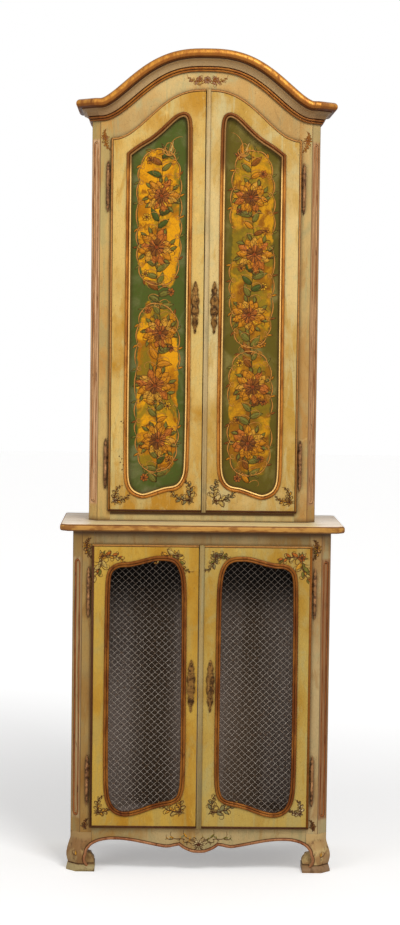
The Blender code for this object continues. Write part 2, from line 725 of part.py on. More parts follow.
def build_upper():
    for name, side in SIDES.items():
        upper_side(f"upper_side_{name}", side)
        top = roof_underside(UPPER.half) - SEAT
        panel_low = UPPER_BOTTOM + UPPER_CANT_LOW_MARGIN
        post(UPPER, side, UPPER_BOTTOM + SEAT, top, panel_low, CORNICE_SHOULDER - UPPER_CANT_TOP_MARGIN)
    floor_top = UPPER.door_low + LAP
    back_front = BACK - BACK_BOARD
    rail_back = UPPER.front + BOARD
    underside = floor_top - SHELF_THICKNESS
    profile = [
        (UPPER.front, UPPER_BOTTOM + SEAT), (rail_back, UPPER_BOTTOM + SEAT), (rail_back, underside),
        (back_front - SEAT, underside), (back_front - SEAT, floor_top), (UPPER.front, floor_top),
    ]
    stage_floor(UPPER, profile)
    inside = UPPER.half - BOARD - SEAT
    outline = [(inside, UPPER_BOTTOM + SEAT), (-inside, UPPER_BOTTOM + SEAT)]
    outline += arched_edge(lambda x: roof_underside(x) - SEAT, inside)
    add("upper_back", board([outline], "front", back_front, BACK), "bare_wood")
    for name, height in zip(("lower", "middle"), SHELF_HEIGHTS):
        shelf = block(
            (-inside, UPPER.front + SHELF_SETBACK, floor_top + height),
            (inside, back_front - SEAT, floor_top + height + SHELF_THICKNESS),
        )
        add(f"shelf_{name}", shelf, "bare_wood")
    between = door_half(UPPER) - LAP - SEAT
    outline = arched_edge(lambda x: door_arch(UPPER, x) - LAP, between)
    outline += reversed(arched_edge(lambda x: roof_underside(x) - SEAT, between))
    add("frieze", board([outline], "front", UPPER.front, UPPER.front + BOARD), "cream_lacquer")
    outline = arched_edge(roof_underside, UPPER.half)
    outline += reversed(arched_edge(lambda x: roof_underside(x) + ROOF_THICKNESS, UPPER.half))
    roof = add("roof", board([outline], "front", UPPER.front, BACK), "bare_wood")
    for side in SIDES.values():
        cut(roof, corner_waste(UPPER, side, CORNICE_SHOULDER, TOTAL_HEIGHT))
    add("cornice", cornice(), "gilding")


def cornice():
    """One moulding swept along the side, round the canted corner and over the arch, mitred at each corner."""
    flat = UPPER.half - UPPER.cant
    stations = []
    for side in (-1, 1):
        outwards = Vector((side, 0))
        canted = Vector((side, -1)).normalized()
        forwards = Vector((0, -1))
        run = [
            ((UPPER.half * side, BACK), outwards, outwards),
            ((UPPER.half * side, UPPER.front + UPPER.cant), outwards, canted),
            ((flat * side, UPPER.front), canted, forwards),
        ]
        ends = []
        for place, first, second in run:
            way = (first + second).normalized()
            way /= way.dot(first)
            ends.append((Vector((*place, CORNICE_SHOULDER)), Vector((way.x, way.y, 0)), Vector((0, 0, 1))))
        stations.append(ends)
    middle = []
    line = [Vector((x, cornice_arch(x))) for x in spread(-flat, flat, CORNICE_STEPS)]
    for before, here, after in zip(line, line[1:], line[2:]):
        way = (after - before).normalized()
        middle.append((Vector((here.x, UPPER.front, here.y)), Vector((0, -1, 0)), Vector((-way.y, 0, way.x))))
    rings = []
    for place, outwards, upwards in stations[0] + middle + stations[1][::-1]:
        rings.append([
            place + outwards * (SEAT + CORNICE_PROJECTION * out) + upwards * CORNICE_HEIGHT * up
            for out, up in CORNICE_SHARES
        ])
    return loft(rings, closed=False)


# Hinges
def hinge_axis(stage, side):
    """Where a door's hinge axis stands, in plan."""
    return Vector(((door_half(stage) + HINGE_OFFSET) * side, stage.front - BARREL_RADIUS - SEAT, 0))


def hinge_heights(stage):
    return (stage.door_low + HINGE_INSET, stage.shoulder - HINGE_INSET)


def leaf_span(height, way):
    """The lowest and highest z of the leaf in the lower (-1) or upper (1) half of a hinge."""
    middle = height + way * (HINGE_HEIGHT / 2 - FINIAL) / 2
    return middle - LEAF_HEIGHT / 2, middle + LEAF_HEIGHT / 2


def barrel(way, inside):
    """Half a hinge barrel from its middle to its finial, as (radius, distance from the middle) pairs."""
    half = HINGE_HEIGHT / 2
    finial = [(BARREL_RADIUS * out, half - FINIAL + FINIAL * along) for out, along in FINIAL_SHARES]
    outside = [(BARREL_RADIUS, SEAT / 2)] + finial + [(0, half)]
    profile = [(radius, way * height) for radius, height in inside + outside]
    return profile if way < 0 else profile[::-1]


def hinge(stage, side, label, height):
    """A pin hinge with finials: the lower half is let into the post, the upper half into the door's edge."""
    axis = hinge_axis(stage, side)
    centre = Vector((axis.x, axis.y, height))
    pin = [(0, -PIN_LENGTH), (PIN_RADIUS, -PIN_LENGTH), (PIN_RADIUS, SEAT / 2)]
    bore_radius = (PIN_RADIUS + PIN_PLAY) / math.cos(math.pi / BARREL_SIDES)
    bore = [(0, PIN_LENGTH + SEAT), (bore_radius, PIN_LENGTH + SEAT), (bore_radius, SEAT / 2)]
    frame_half = add(f"{label}_pin", turned(barrel(-1, pin), centre), "hinge_metal")
    low, high = leaf_span(height, -1)
    cut(frame_half, block(
        (axis.x - LEAF / 2, axis.y + PIN_RADIUS, low), (axis.x + LEAF / 2, stage.front + LEAF_BITE, high)
    ), "UNION")
    door_piece = add(f"{label}_barrel", turned(barrel(1, bore), centre), "hinge_metal")
    low, high = leaf_span(height, 1)
    start = axis.x - side * (BARREL_RADIUS + bore_radius) / 2
    end = axis.x - side * (HINGE_OFFSET + LEAF_BITE)
    first, second = sorted((start, end))
    cut(door_piece, block((first, axis.y - LEAF / 2, low), (second, axis.y + LEAF / 2, high)), "UNION")
    return door_piece


# Doors
def moulding_outline(stage, side):
    """The outer edge of the gilt moulding on a door."""
    outer = (door_half(stage) - stage.outer_margin) * side
    inner = stage.inner_margin * side
    low = stage.door_low + stage.low_margin
    high = stage.crown - stage.high_margin
    wide, tall = inner - outer, high - low
    points = [(outer + wide * across, low + tall * up, *sharp) for across, up, *sharp in stage.shares]
    return smooth_line(points)


def door_outline(stage, side, inset, past_meeting):
    """A door's edge, drawn in by an inset on three sides, and run past the meeting edge if asked."""
    edge = (door_half(stage) - inset) * side
    meeting = stage.meeting + side * MEETING_GAP / 2 - side * past_meeting
    low = stage.door_low + inset
    places = arch_places(meeting, edge) if stage.crown > stage.shoulder else [meeting, edge]
    top = [(x, door_arch(stage, x) - inset) for x in places]
    return [(edge, low), (meeting, low)] + top


def door_frame(stage, side, name):
    """A lipped door frame with a shaped opening, rebated round its back edge and pocketed for its panel."""
    hole = offset(moulding_outline(stage, side), -MOULDING_FACE)
    face = stage.front - SEAT - DOOR_LIP
    rear = stage.front + DOOR_TONGUE
    outline = door_outline(stage, side, 0, 0)
    frame = add(name, board([outline, hole], "front", face, rear), "cream_lacquer")
    around = door_outline(stage, side, -OVERRUN, OVERRUN * 2)
    tongue = door_outline(stage, side, LAP + FIT, OVERRUN)
    cut(frame, board([offset(hole, POCKET_LAP)], "front", stage.front, rear + OVERRUN))
    cut(frame, board([around, tongue], "front", stage.front - SEAT, rear + OVERRUN))
    axis = hinge_axis(stage, side)
    for height in hinge_heights(stage):
        low, high = leaf_span(height, 1)
        near = axis.x
        far = axis.x - side * (HINGE_OFFSET + LEAF_BITE + SEAT)
        first, second = sorted((near, far))
        grown = LEAF / 2 + SEAT
        cut(frame, block(
            (first, axis.y - grown, low - SEAT),
            (second, axis.y + grown, high + SEAT),
        ))
    return frame, hole


def gilt_moulding(stage, hole, name):
    """The moulding round a door's opening: a rounded face on the door, hooked over the edge of the hole."""
    section = [
        (MOULDING_FACE, SEAT), (-SEAT, SEAT), (-SEAT, -MOULDING_RETURN), (-MOULDING_REACH, -MOULDING_RETURN),
        (-MOULDING_REACH, MOULDING_PROUD * MOULDING_INNER_SHARE),
    ]
    section += [(MOULDING_FACE * across, MOULDING_PROUD * out) for across, out in MOULDING_FACE_SHARES]
    face = stage.front - SEAT - DOOR_LIP
    lines = [offset(hole, out) for out, _ in section]
    rings = [
        [Vector((line[index].x, face - proud, line[index].y)) for line, (_, proud) in zip(lines, section)]
        for index in range(len(hole))
    ]
    return add(name, loft(rings, closed=True), "gilding")


def grille(stage, hole, name):
    """A diamond wire grille: fused wires crossing at right angles, held in a flat rim behind the opening."""
    edge = offset(hole, POCKET_LAP - SEAT)
    low = Vector((min(point.x for point in edge), min(point.y for point in edge)))
    high = Vector((max(point.x for point in edge), max(point.y for point in edge)))
    middle = (low + high) / 2
    rows = int((high - low).length / 2 / WIRE_PITCH)
    front = stage.front + SEAT
    piece = add(name, board([edge], "front", front, front + WIRE), "wire")
    slant = Matrix.Rotation(math.pi / 4, 4, "Y")
    turn = Matrix.Translation((middle.x, 0, middle.y)) @ slant
    gap = (WIRE_PITCH - WIRE) / 2
    work = bmesh.new()
    for row in range(-rows, rows + 1):
        for column in range(-rows, rows + 1):
            centre = turn @ Vector((row * WIRE_PITCH, 0, column * WIRE_PITCH))
            if low.x - WIRE_PITCH < centre.x < high.x + WIRE_PITCH:
                diamond = block((-gap, front - OVERRUN, -gap), (gap, front + OVERRUN, gap), slant)
                diamond.transform(Matrix.Translation((centre.x, 0, centre.z)))
                work.from_mesh(diamond)
                bpy.data.meshes.remove(diamond)
    gaps = bpy.data.meshes.new("gaps")
    work.to_mesh(gaps)
    work.free()
    tool = cut(piece, gaps)
    cut(tool, board([hole], "front", front - OVERRUN * 2, front + OVERRUN * 2), "INTERSECT")
    return piece


def panel(stage, hole, name):
    """A painted panel that fills the pocket behind a door's opening."""
    edge = offset(hole, POCKET_LAP - SEAT)
    front = stage.front + SEAT
    return add(name, board([edge], "front", front, front + PANEL_THICKNESS), "green_lacquer")


def escutcheon(stage, side, name):
    """A tall pierced keyhole plate on the meeting stile."""
    centre = Vector((ESCUTCHEON_CENTRE * side, key_height(stage)))
    half_width, half_height = ESCUTCHEON_WIDTH / 2, ESCUTCHEON_HEIGHT / 2
    right = [(half_width * out, half_height * up, *sharp) for out, up, *sharp in ESCUTCHEON_SHARES]
    left = [(-out, up, *sharp) for out, up, *sharp in reversed(right[1:-1])]
    outline = [point + centre for point in smooth_line(right + left, steps=1)]
    slot = KEYHOLE_RADIUS / 2
    top = spread(KEYHOLE_MOUTH / 2, math.tau - KEYHOLE_MOUTH / 2, ROUND_STEPS)
    keyhole = [centre + KEYHOLE_RADIUS * Vector((math.sin(turn), -math.cos(turn))) for turn in top]
    keyhole += [centre + Vector((-slot, -KEYHOLE_SLOT)), centre + Vector((slot, -KEYHOLE_SLOT))]
    face = stage.front - DOOR_LIP - SEAT * 2
    return add(name, board([outline, keyhole], "front", face - ESCUTCHEON_THICKNESS, face), "brass")


def key_height(stage):
    return stage.door_low + (stage.crown - stage.door_low) * stage.key_share


def astragal(stage, name):
    """The half-round bead on the meeting edge of the right door."""
    edge = stage.meeting + MEETING_GAP / 2
    face = stage.front - DOOR_LIP - SEAT * 2
    half = stage.astragal / 2
    section = [
        (edge + half - half * math.cos(turn), face - ASTRAGAL_PROUD * math.sin(turn))
        for turn in spread(0, math.pi, ROUND_STEPS)
    ]
    top = door_arch(stage, edge + stage.astragal) - SEAT
    return add(name, board([section], "plan", stage.door_low + SEAT, top), "cream_lacquer")


def lock(stage, name):
    """A rim lock on the back of the right door's meeting stile, its bolt shot behind the left door."""
    left = stage.meeting + MEETING_GAP / 2 + LOCK_INSET
    front = stage.front + DOOR_TONGUE + SEAT
    middle = key_height(stage)
    case = add(f"{name}_lock_case", block(
        (left, front, middle - LOCK_HEIGHT / 2),
        (left + LOCK_WIDTH, front + LOCK_DEPTH, middle + LOCK_HEIGHT / 2),
    ), "lock_iron")
    low = Vector((left + SEAT, front + BOLT_BACK, middle - BOLT_HEIGHT / 2))
    high = low + Vector((BOLT_LENGTH, BOLT_THICKNESS, BOLT_HEIGHT))
    play = Vector((SEAT, SEAT, SEAT))
    cut(case, block(low - play - Vector((OVERRUN, 0, 0)), high + play))
    bolt = add(f"{name}_lock_bolt", block(low, high), "lock_iron")
    return case, bolt, (low + high) / 2


def guide(name, place, parent=None):
    """An empty on a joint's axis, which carries the pieces that move on it."""
    empty = bpy.data.objects.new(name, None)
    empty.location = place
    CUPBOARD.objects.link(empty)
    carry(empty, parent)
    return empty


def carry(piece, parent):
    """Parents a piece without moving it."""
    if parent is not None:
        bpy.context.view_layer.update()
        piece.parent = parent
        piece.matrix_parent_inverse = parent.matrix_world.inverted()


def build_door(stage, side_name):
    """One hinged door with its moulding, its panel or grille, and its metalwork."""
    side = SIDES[side_name]
    name = f"{stage.name}_door_{side_name}"
    frame, hole = door_frame(stage, side, f"{name}_frame")
    pieces = [
        frame, gilt_moulding(stage, hole, f"{name}_moulding"), escutcheon(stage, side, f"{name}_escutcheon"),
    ]
    fill = grille if stage is BASE else panel
    pieces.append(fill(stage, hole, f"{name}_{fill.__name__}"))
    for label, height in zip(("lower", "upper"), hinge_heights(stage)):
        pieces.append(hinge(stage, side, f"{stage.name}_hinge_{side_name}_{label}", height))
    pivot = guide(f"{name}_axis", hinge_axis(stage, side) + Vector((0, 0, stage.door_low)))
    if side > 0:
        pieces.append(astragal(stage, f"{stage.name}_astragal"))
        case, bolt, place = lock(stage, stage.name)
        pieces.append(case)
        carry(bolt, guide(f"{bolt.name}_axis", place, pivot))
    for piece in pieces:
        carry(piece, pivot)


build_base()
build_upper()
for current in (BASE, UPPER):
    for which in SIDES:
        build_door(current, which)
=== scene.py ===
"""Looks of a painted two-part cupboard, dressed round its fixed frame. Metres, +Z up, doors to -Y."""

import math
import random

import bpy
from mathutils import Matrix, Vector
from mathutils.geometry import interpolate_bezier


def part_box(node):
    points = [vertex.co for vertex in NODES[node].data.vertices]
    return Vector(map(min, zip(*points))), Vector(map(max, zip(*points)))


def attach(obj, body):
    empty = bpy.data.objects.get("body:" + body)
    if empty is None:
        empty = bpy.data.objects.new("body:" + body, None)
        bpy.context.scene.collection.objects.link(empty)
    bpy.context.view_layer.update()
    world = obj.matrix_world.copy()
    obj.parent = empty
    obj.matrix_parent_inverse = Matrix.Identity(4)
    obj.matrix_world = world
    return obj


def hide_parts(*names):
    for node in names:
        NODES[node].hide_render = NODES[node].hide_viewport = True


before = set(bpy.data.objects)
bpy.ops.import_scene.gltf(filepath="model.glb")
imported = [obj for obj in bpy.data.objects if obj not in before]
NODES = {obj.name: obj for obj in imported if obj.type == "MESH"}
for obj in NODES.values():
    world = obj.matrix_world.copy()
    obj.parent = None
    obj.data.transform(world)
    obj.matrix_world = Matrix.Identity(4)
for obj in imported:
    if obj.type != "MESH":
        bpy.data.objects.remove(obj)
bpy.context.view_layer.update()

# The carcass boards: limewood posts, sides, rails, apron and frieze, glued and pegged together, under a
# gesso ground and brushed lacquer that has yellowed unevenly, with greenish patina, brown grime, and painted
# shade in the joints and under the waist top.


class Finish:
    """One material, whose nodes are added one after another over its colour."""

    def __init__(self, name, **sockets):
        self.material = bpy.data.materials.new(name)
        self.material.use_nodes = True
        self.tree = self.material.node_tree
        self.shader = self.tree.nodes["Principled BSDF"]
        for socket, value in {"Specular_IOR_Level": 0.2, **sockets}.items():
            self.feed(self.shader.inputs[socket.replace("_", " ")], value)
        self.place = self.add("ShaderNodeTexCoord").outputs["Object"]

    def feed(self, socket, value):
        """Links a socket to another node's, or sets its own value."""
        if isinstance(value, bpy.types.NodeSocket):
            self.tree.links.new(value, socket)
        else:
            socket.default_value = (*value, 1.0) if socket.type == "RGBA" else value

    def add(self, kind, inputs=None, **settings):
        node = self.tree.nodes.new(kind)
        for setting, value in settings.items():
            setattr(node, setting, value)
        for socket, value in (inputs or {}).items():
            self.feed(node.inputs[socket], value)
        return node

    def height(self, axis="Z", place=None):
        """Height above the floor, or the place along another axis."""
        return self.add("ShaderNodeSeparateXYZ", {0: place or self.place}).outputs[axis]

    def stretched(self, stretch):
        return self.add("ShaderNodeMapping", {"Vector": self.place, "Scale": stretch}).outputs["Vector"]

    def noise(self, scale, detail=3.0, rough=0.5, stretch=(1, 1, 1), warp=0.0):
        inputs = {"Scale": scale, "Detail": detail, "Roughness": rough, "Distortion": warp}
        return self.add("ShaderNodeTexNoise", {"Vector": self.stretched(stretch), **inputs}).outputs["Fac"]

    def cracks(self, scale, stretch):
        inputs = {"Vector": self.stretched(stretch), "Scale": scale}
        return self.add("ShaderNodeTexVoronoi", inputs, feature="DISTANCE_TO_EDGE").outputs["Distance"]

    def band(self, value, low, high, start=0.0, end=1.0):
        """The value taken smoothly from start to end as it goes from low to high, up or down."""
        if low > high:
            low, high, start, end = high, low, end, start
        inputs = {"Value": value, "From Min": low, "From Max": high, "To Min": start, "To Max": end}
        return self.add("ShaderNodeMapRange", inputs, interpolation_type="SMOOTHSTEP").outputs["Result"]

    def level(self, operation, first, second=0.0):
        return self.add("ShaderNodeMath", {0: first, 1: second}, operation=operation).outputs[0]

    def away(self, place, middle):
        """How far a place is from a middle."""
        return self.level("ABSOLUTE", self.level("SUBTRACT", place, middle))

    def blend(self, share, first, second):
        return self.add("ShaderNodeMix", {0: share, 6: first, 7: second}, data_type="RGBA").outputs[2]

    def ground(self, value, low, high, first, second):
        """Starts the colour as two paints, the second where the value is high."""
        self.colour = self.blend(self.band(value, low, high), first, second)

    def wash(self, paint, value, low, high, most=1.0):
        """Lays a paint over the colour, from none of it at the low value to most at the high one."""
        self.colour = self.blend(self.band(value, low, high, 0.0, most), self.colour, paint)

    def dirt_and_shade(self, reach, share, paint):
        """Painted shade and dirt: darkens the corners and joints that ambient occlusion finds over the reach
        given.
        """
        occluded = self.add("ShaderNodeAmbientOcclusion", {"Distance": reach}, samples=6).outputs["AO"]
        self.wash(paint, occluded, 0.90, 0.42, share)

    def done(self, gloss, relief=None):
        """The material with its colour, a band of roughness and a relief as (height, distance, strength)."""
        self.feed(self.shader.inputs["Base Color"], self.colour)
        self.feed(self.shader.inputs["Roughness"], self.band(*gloss))
        if relief:
            height, distance, strength = relief
            bump = self.add("ShaderNodeBump", {"Height": height, "Distance": distance, "Strength": strength})
            self.feed(self.shader.inputs["Normal"], bump.outputs["Normal"])
        return self.material


# Dark brown for grime, and for painted shade in joints, under the waist top, under the doors and under the
# slab.
GRIME_AND_SHADE = (0.105, 0.050, 0.018)
BARE_WOOD, BARE_RINGS = (0.26, 0.16, 0.085), (0.13, 0.075, 0.038)
# Near black: painted shade at the top of the base's inside.
INSIDE_TOP_SHADE = (0.010, 0.006, 0.004)
DUST = (0.128, 0.086, 0.056), (0.262, 0.205, 0.172)
GRAIN = {"X": (0.5, 9, 9), "Y": (9, 0.5, 9), "Z": (9, 9, 0.5)}
SKIN = 0.0004  # how near to a face its paint ends
CANTS = {"base": 0.027, "upper": 0.024}  # how far the front corners are cut back
CANT_FIELDS = {"base": (0.024, 0.155, 0.887), "upper": (0.021, 1.040, 2.061)}  # width, foot and head
# The pale and dark streak paints of each canted corner; the right corners' darker paints are painted shade.
CANT_PAINTS = {
    ("base", "left"): ((0.46, 0.31, 0.14), (0.26, 0.13, 0.040)),
    ("base", "right"): ((0.34, 0.17, 0.065), (0.22, 0.090, 0.028)),
    ("upper", "left"): ((0.76, 0.47, 0.25), (0.36, 0.15, 0.045)),
    ("upper", "right"): ((0.48, 0.27, 0.12), (0.32, 0.15, 0.05)),
}
CANT_MARGIN = 0.010  # how far the streaked paint runs on past the sunk field
ARRIS_WEAR = 0.0017
FLECK_LIGHT = 1.18  # how much paler than its coat a fleck is
STREAKS = (6.0, 5.0, 0.65, (60, 60, 1.1), 0.4)


def bare_colour(coat, run="Z", dusty_and_shaded=False):
    """Unpainted softwood in pale and dark year rings along an axis, and its fibres. The base's inside is
    dusty grey lower down, and near black at the top as painted shade."""
    rings = coat.noise(7.0, 4.0, 0.6, GRAIN[run], 0.6)
    fibre = coat.noise(46.0, 3.0, 0.6, GRAIN[run])
    colour = coat.blend(coat.band(rings, 0.35, 0.65), BARE_WOOD, BARE_RINGS)
    colour = coat.blend(coat.band(fibre, 0.4, 0.7, 0.0, 0.35), colour, BARE_RINGS)
    if dusty_and_shaded:
        colour = coat.blend(coat.band(coat.noise(2.4, 2.0, 0.5, (3.5, 3.5, 0.12)), 0.40, 0.60), *DUST)
        colour = coat.blend(coat.band(coat.height(), 0.66, 0.81), colour, INSIDE_TOP_SHADE)
    return colour, fibre


def post_corner(stage, side):
    """Half the width of a stage over its posts, and the plane of its front."""
    low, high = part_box(f"{stage}_post_{side}")
    return max(abs(low.x), abs(high.x)), low.y


def canted(coat, stage, side):
    """Paint rubbed through in streaks over a post's canted corner, darker on the right side as painted shade,
    and dark worn arrises.
    """
    half, front = post_corner(stage, side)
    inner, outer = half - CANTS[stage], front + CANTS[stage]
    _, low, high = CANT_FIELDS[stage]
    across, depth, height = coat.level("ABSOLUTE", coat.height("X")), coat.height("Y"), coat.height()
    inside = coat.band(across, inner, inner + ARRIS_WEAR)
    for place, start, end in (
        (depth, outer, outer - ARRIS_WEAR), (height, low - CANT_MARGIN, low),
        (height, high + CANT_MARGIN, high),
    ):
        inside = coat.level("MULTIPLY", inside, coat.band(place, start, end))
    streaked = coat.blend(coat.band(coat.noise(*STREAKS), 0.40, 0.62), *CANT_PAINTS[stage, side])
    coat.colour = coat.blend(inside, coat.colour, streaked)
    for place, edge in ((across, inner), (depth, outer)):
        coat.wash(GRIME_AND_SHADE, coat.away(place, edge), ARRIS_WEAR, ARRIS_WEAR * 0.3, 0.72)


def lacquer(
    name, pale, ochre, patina, yellowed, worn, shade_and_soot=(), bleached=None, corner=None, inner=None, dusty_and_shaded=False
):
    """Brushed lacquer: pale and ochre coats, patina patches, brush lines, fine crazing, specks of grime,
    painted shade and dirt in the joints, and a darkening from one height to another, mostly painted shade. It
    may be bleached from one height upwards, have the canted corner of a stage and side, and leave a side
    board bare on its inner face, which may be dusty and have painted shade towards the top."""
    coat = Finish(name)
    clouds = coat.noise(5.5, 4.0, 0.55, (1, 1, 0.6), 0.4)
    if bleached:
        clouds = coat.level("ADD", clouds, coat.band(coat.height(), *bleached, -0.11, 0.02))
    coat.ground(clouds, yellowed - 0.12, yellowed + 0.12, ochre, pale)
    patches = coat.noise(17.0, 6.0, 0.62, (1, 1, 0.7), 0.8)
    brushed = coat.noise(9.0, 3.0, 0.6, (60, 60, 1.2))
    crazing = coat.cracks(150.0, (1, 1, 0.45))
    flecks = tuple(part * FLECK_LIGHT for part in pale)
    for paint, grain, low, high, most in (
        (patina, patches, 0.62 - worn * 0.16, 0.74, 0.75),
        (patina, coat.noise(4.2, 6.0, 0.66, (7, 7, 1.0), 0.5), 0.50, 0.62, 0.62 * worn),
        (ochre, coat.noise(6.5, 6.0, 0.68, (4, 4, 1.0), 0.6), 0.54, 0.64, 0.55 * worn),
        (flecks, coat.noise(24.0, 6.0, 0.66, (1, 1, 0.8), 1.0), 0.63, 0.70, 0.55),
        (ochre, brushed, 0.35, 0.75, 0.16),
        (GRIME_AND_SHADE, crazing, 0.05, 0.0, 0.20),
        (GRIME_AND_SHADE, coat.noise(210.0, 2.0, 0.5), 0.70, 0.76, 0.55),
        (GRIME_AND_SHADE, coat.noise(32.0, 5.0, 0.7, (1, 1, 0.5), 1.2), 0.60, 0.78, 0.30 * worn),
    ):
        coat.wash(paint, grain, low, high, most)
    for light_end, dark_end, share in shade_and_soot:
        coat.wash(GRIME_AND_SHADE, coat.height(), light_end, dark_end, share)
    if corner:
        canted(coat, *corner)
    if inner:
        across = coat.level("ABSOLUTE", coat.height("X"))
        coat.wash(bare_colour(coat, dusty_and_shaded=dusty_and_shaded)[0], across, inner + SKIN, inner + SKIN / 2)
    coat.dirt_and_shade(0.012, 0.85, GRIME_AND_SHADE)
    relief = coat.level("ADD", brushed, coat.band(crazing, 0.0, 0.06, -0.6, 0.0))
    return coat.done((patches, 0.3, 0.7, 0.34, 0.50), (relief, 0.00025, 0.5))


def wear(piece, *materials):
    """Gives a piece its materials in place of any that it has."""
    piece.data.materials.clear()
    for material in materials:
        piece.data.materials.append(material)


# Each coat's last list darkens it between two heights: at the foot of the upper stage, partly a dark joint
# and partly painted shade; on the base, painted shadow under the waist top.
UPPER_COATS = (0.56, 0.38, 0.14), (0.47, 0.23, 0.05), (0.38, 0.33, 0.15), 0.50, 0.9, [(0.994, 0.988, 0.60)]
BASE_COATS = (
    (0.46, 0.33, 0.145), (0.32, 0.17, 0.040), (0.31, 0.26, 0.12), 0.48, 1.0,
    [(0.900, 0.955, 0.35), (0.948, 0.962, 0.95)],
)
BASE_LACQUER = lacquer("base_lacquer", *BASE_COATS)
BOARD_LACQUERS = {
    "base_top_rail": BASE_LACQUER, "base_apron": BASE_LACQUER,
    # Darker at its foot, partly a dark joint and partly painted shade, and from 1.003 m up painted shadow
    # under the upper doors' lower edges, running on over its inner top.
    "upper_floor": lacquer(
        "upper_rail_lacquer", (0.54, 0.42, 0.18), (0.44, 0.28, 0.09), (0.38, 0.33, 0.16), 0.44, 0.9,
        [(0.992, 0.988, 0.60), (1.003, 1.008, 0.95)],
    ),
    # Darker towards the shoulders of the arch.
    "frieze": lacquer(
        "frieze_lacquer", (0.60, 0.41, 0.155), (0.52, 0.30, 0.09), (0.40, 0.36, 0.17), 0.44, 1.0,
        [(2.20, 2.11, 0.20)],
    ),
}
for node, paint in BOARD_LACQUERS.items():
    wear(NODES[node], paint)
SIDE_LACQUERS = {
    "base": lacquer("base_side_lacquer", *BASE_COATS, inner=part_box("base_side_right")[0].x, dusty_and_shaded=True),
    "upper": lacquer("upper_side_lacquer", *UPPER_COATS, inner=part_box("upper_side_right")[0].x),
}
POST_COATS = {
    ("base", "left"): ((0.36, 0.22, 0.065), (0.26, 0.115, 0.018), (0.27, 0.20, 0.080)),
    ("base", "right"): ((0.48, 0.34, 0.155), (0.34, 0.18, 0.055), (0.38, 0.31, 0.15)),
    ("upper", "left"): ((0.56, 0.37, 0.12), (0.47, 0.23, 0.05), (0.38, 0.31, 0.12)),
    ("upper", "right"): ((0.53, 0.35, 0.13), (0.42, 0.21, 0.05), (0.36, 0.30, 0.13)),
}
# Painted shadow under the waist top on the base posts; at the foot of the upper posts, partly a dark joint
# and partly painted shade.
POST_SHADE_AND_SOOT = {"base": [(0.948, 0.962, 0.95)], "upper": [(1.004, 0.988, 0.60)]}
for (stage, side), coats in POST_COATS.items():
    wear(NODES[f"{stage}_side_{side}"], SIDE_LACQUERS[stage])
    post = lacquer(
        f"{stage}_{side}_post_lacquer", *coats, 0.48, 1.0, POST_SHADE_AND_SOOT[stage], corner=(stage, side)
    )
    wear(NODES[f"{stage}_post_{side}"], post)

# The hidden boards: back, inside floor, shelves and roof in softwood, nailed on and left bare, gone brown
# with age. The base's own are dusty grey inside, and darkened towards the top as painted shade.
BACK_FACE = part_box("base_back")[1].y


def softwood(name, run="Z", dusty_and_shaded=False):
    """Bare softwood with its grain along an axis; all but its rear face may be dusty grey, with painted shade
    towards the top.
    """
    wood = Finish(name)
    wood.colour, fibre = bare_colour(wood, run)
    if dusty_and_shaded:
        behind = wood.band(wood.height("Y"), BACK_FACE - SKIN, BACK_FACE - SKIN / 2)
        wood.colour = wood.blend(behind, bare_colour(wood, run, dusty_and_shaded)[0], wood.colour)
    return wood.done((fibre, 0.3, 0.7, 0.62, 0.78), (fibre, 0.0004, 0.6))


BOARDS = {
    "upper_back": softwood("upright_boards"), "roof": softwood("roof_boards", "Y"),
    "shelf_lower": softwood("lower_shelf_board", "X"), "shelf_middle": softwood("middle_shelf_board", "X"),
    "base_back": softwood("dusty_shaded_boards", dusty_and_shaded=True), "base_floor": softwood("dusty_shaded_floor", "X", True),
}
for node, wood in BOARDS.items():
    wear(NODES[node], wood)

# The gilt mouldings round the door openings: limewood strips bent and mitred to the opening, two reeds with
# a dark quirk between them, glued over the edge of the hole, gessoed, and gilded over a red-brown ground.
SAMPLING = 0.006
SHARP_TURN = 0.55
TINY = 0.00002
FRONT_FACE = (Vector((1, 0, 0)), Vector((0, -1, 0)))
# Dark brown for dirt, and for painted shade in the lines and joints of the gilding; also the dark joint above
# the foot blocks.
DIRT_AND_SHADE = (0.045, 0.015, 0.006)
ZONE_BLUR = 0.012


def smooth(points, closed=False, spacing=SAMPLING):
    """A curve through flat points, sampled about every spacing; a sharp turn stays a corner."""
    count = len(points)

    def ways(index):
        here = points[index]
        before = here - points[index - 1] if closed or index else points[1] - here
        after = points[(index + 1) % count] - here if closed or index < count - 1 else before
        if before.angle(after) > SHARP_TURN:
            return before.normalized(), after.normalized()
        middle = (before.normalized() + after.normalized()).normalized()
        return middle, middle

    line = []
    for index in range(count if closed else count - 1):
        start, end = points[index], points[(index + 1) % count]
        length = (end - start).length
        first = start + ways(index)[1] * length / 3
        second = end - ways((index + 1) % count)[0] * length / 3
        steps = max(1, round(length / spacing))
        curve = interpolate_bezier(start, first, second, end, steps + 1)
        line += [Vector(point[:2]) for point in curve[:-1]]
    return line if closed else line + [points[-1]]


def stations(line, origin, face=FRONT_FACE, closed=False):
    """Along a line of (across, height) points on a face: place, way to its left, way outwards."""
    across, outwards = face
    count = len(line)
    places = []
    for index, here in enumerate(line):
        before = here - line[index - 1] if closed or index else line[1] - here
        after = line[(index + 1) % count] - here if closed or index < count - 1 else before
        before, after = before.normalized(), after.normalized()
        way = (before + after).normalized()
        left = (across * -way.y + Vector((0, 0, way.x))) / max(0.5, way.dot(before))
        places.append((origin + across * here.x + Vector((0, 0, here.y)), left, outwards))
    return places


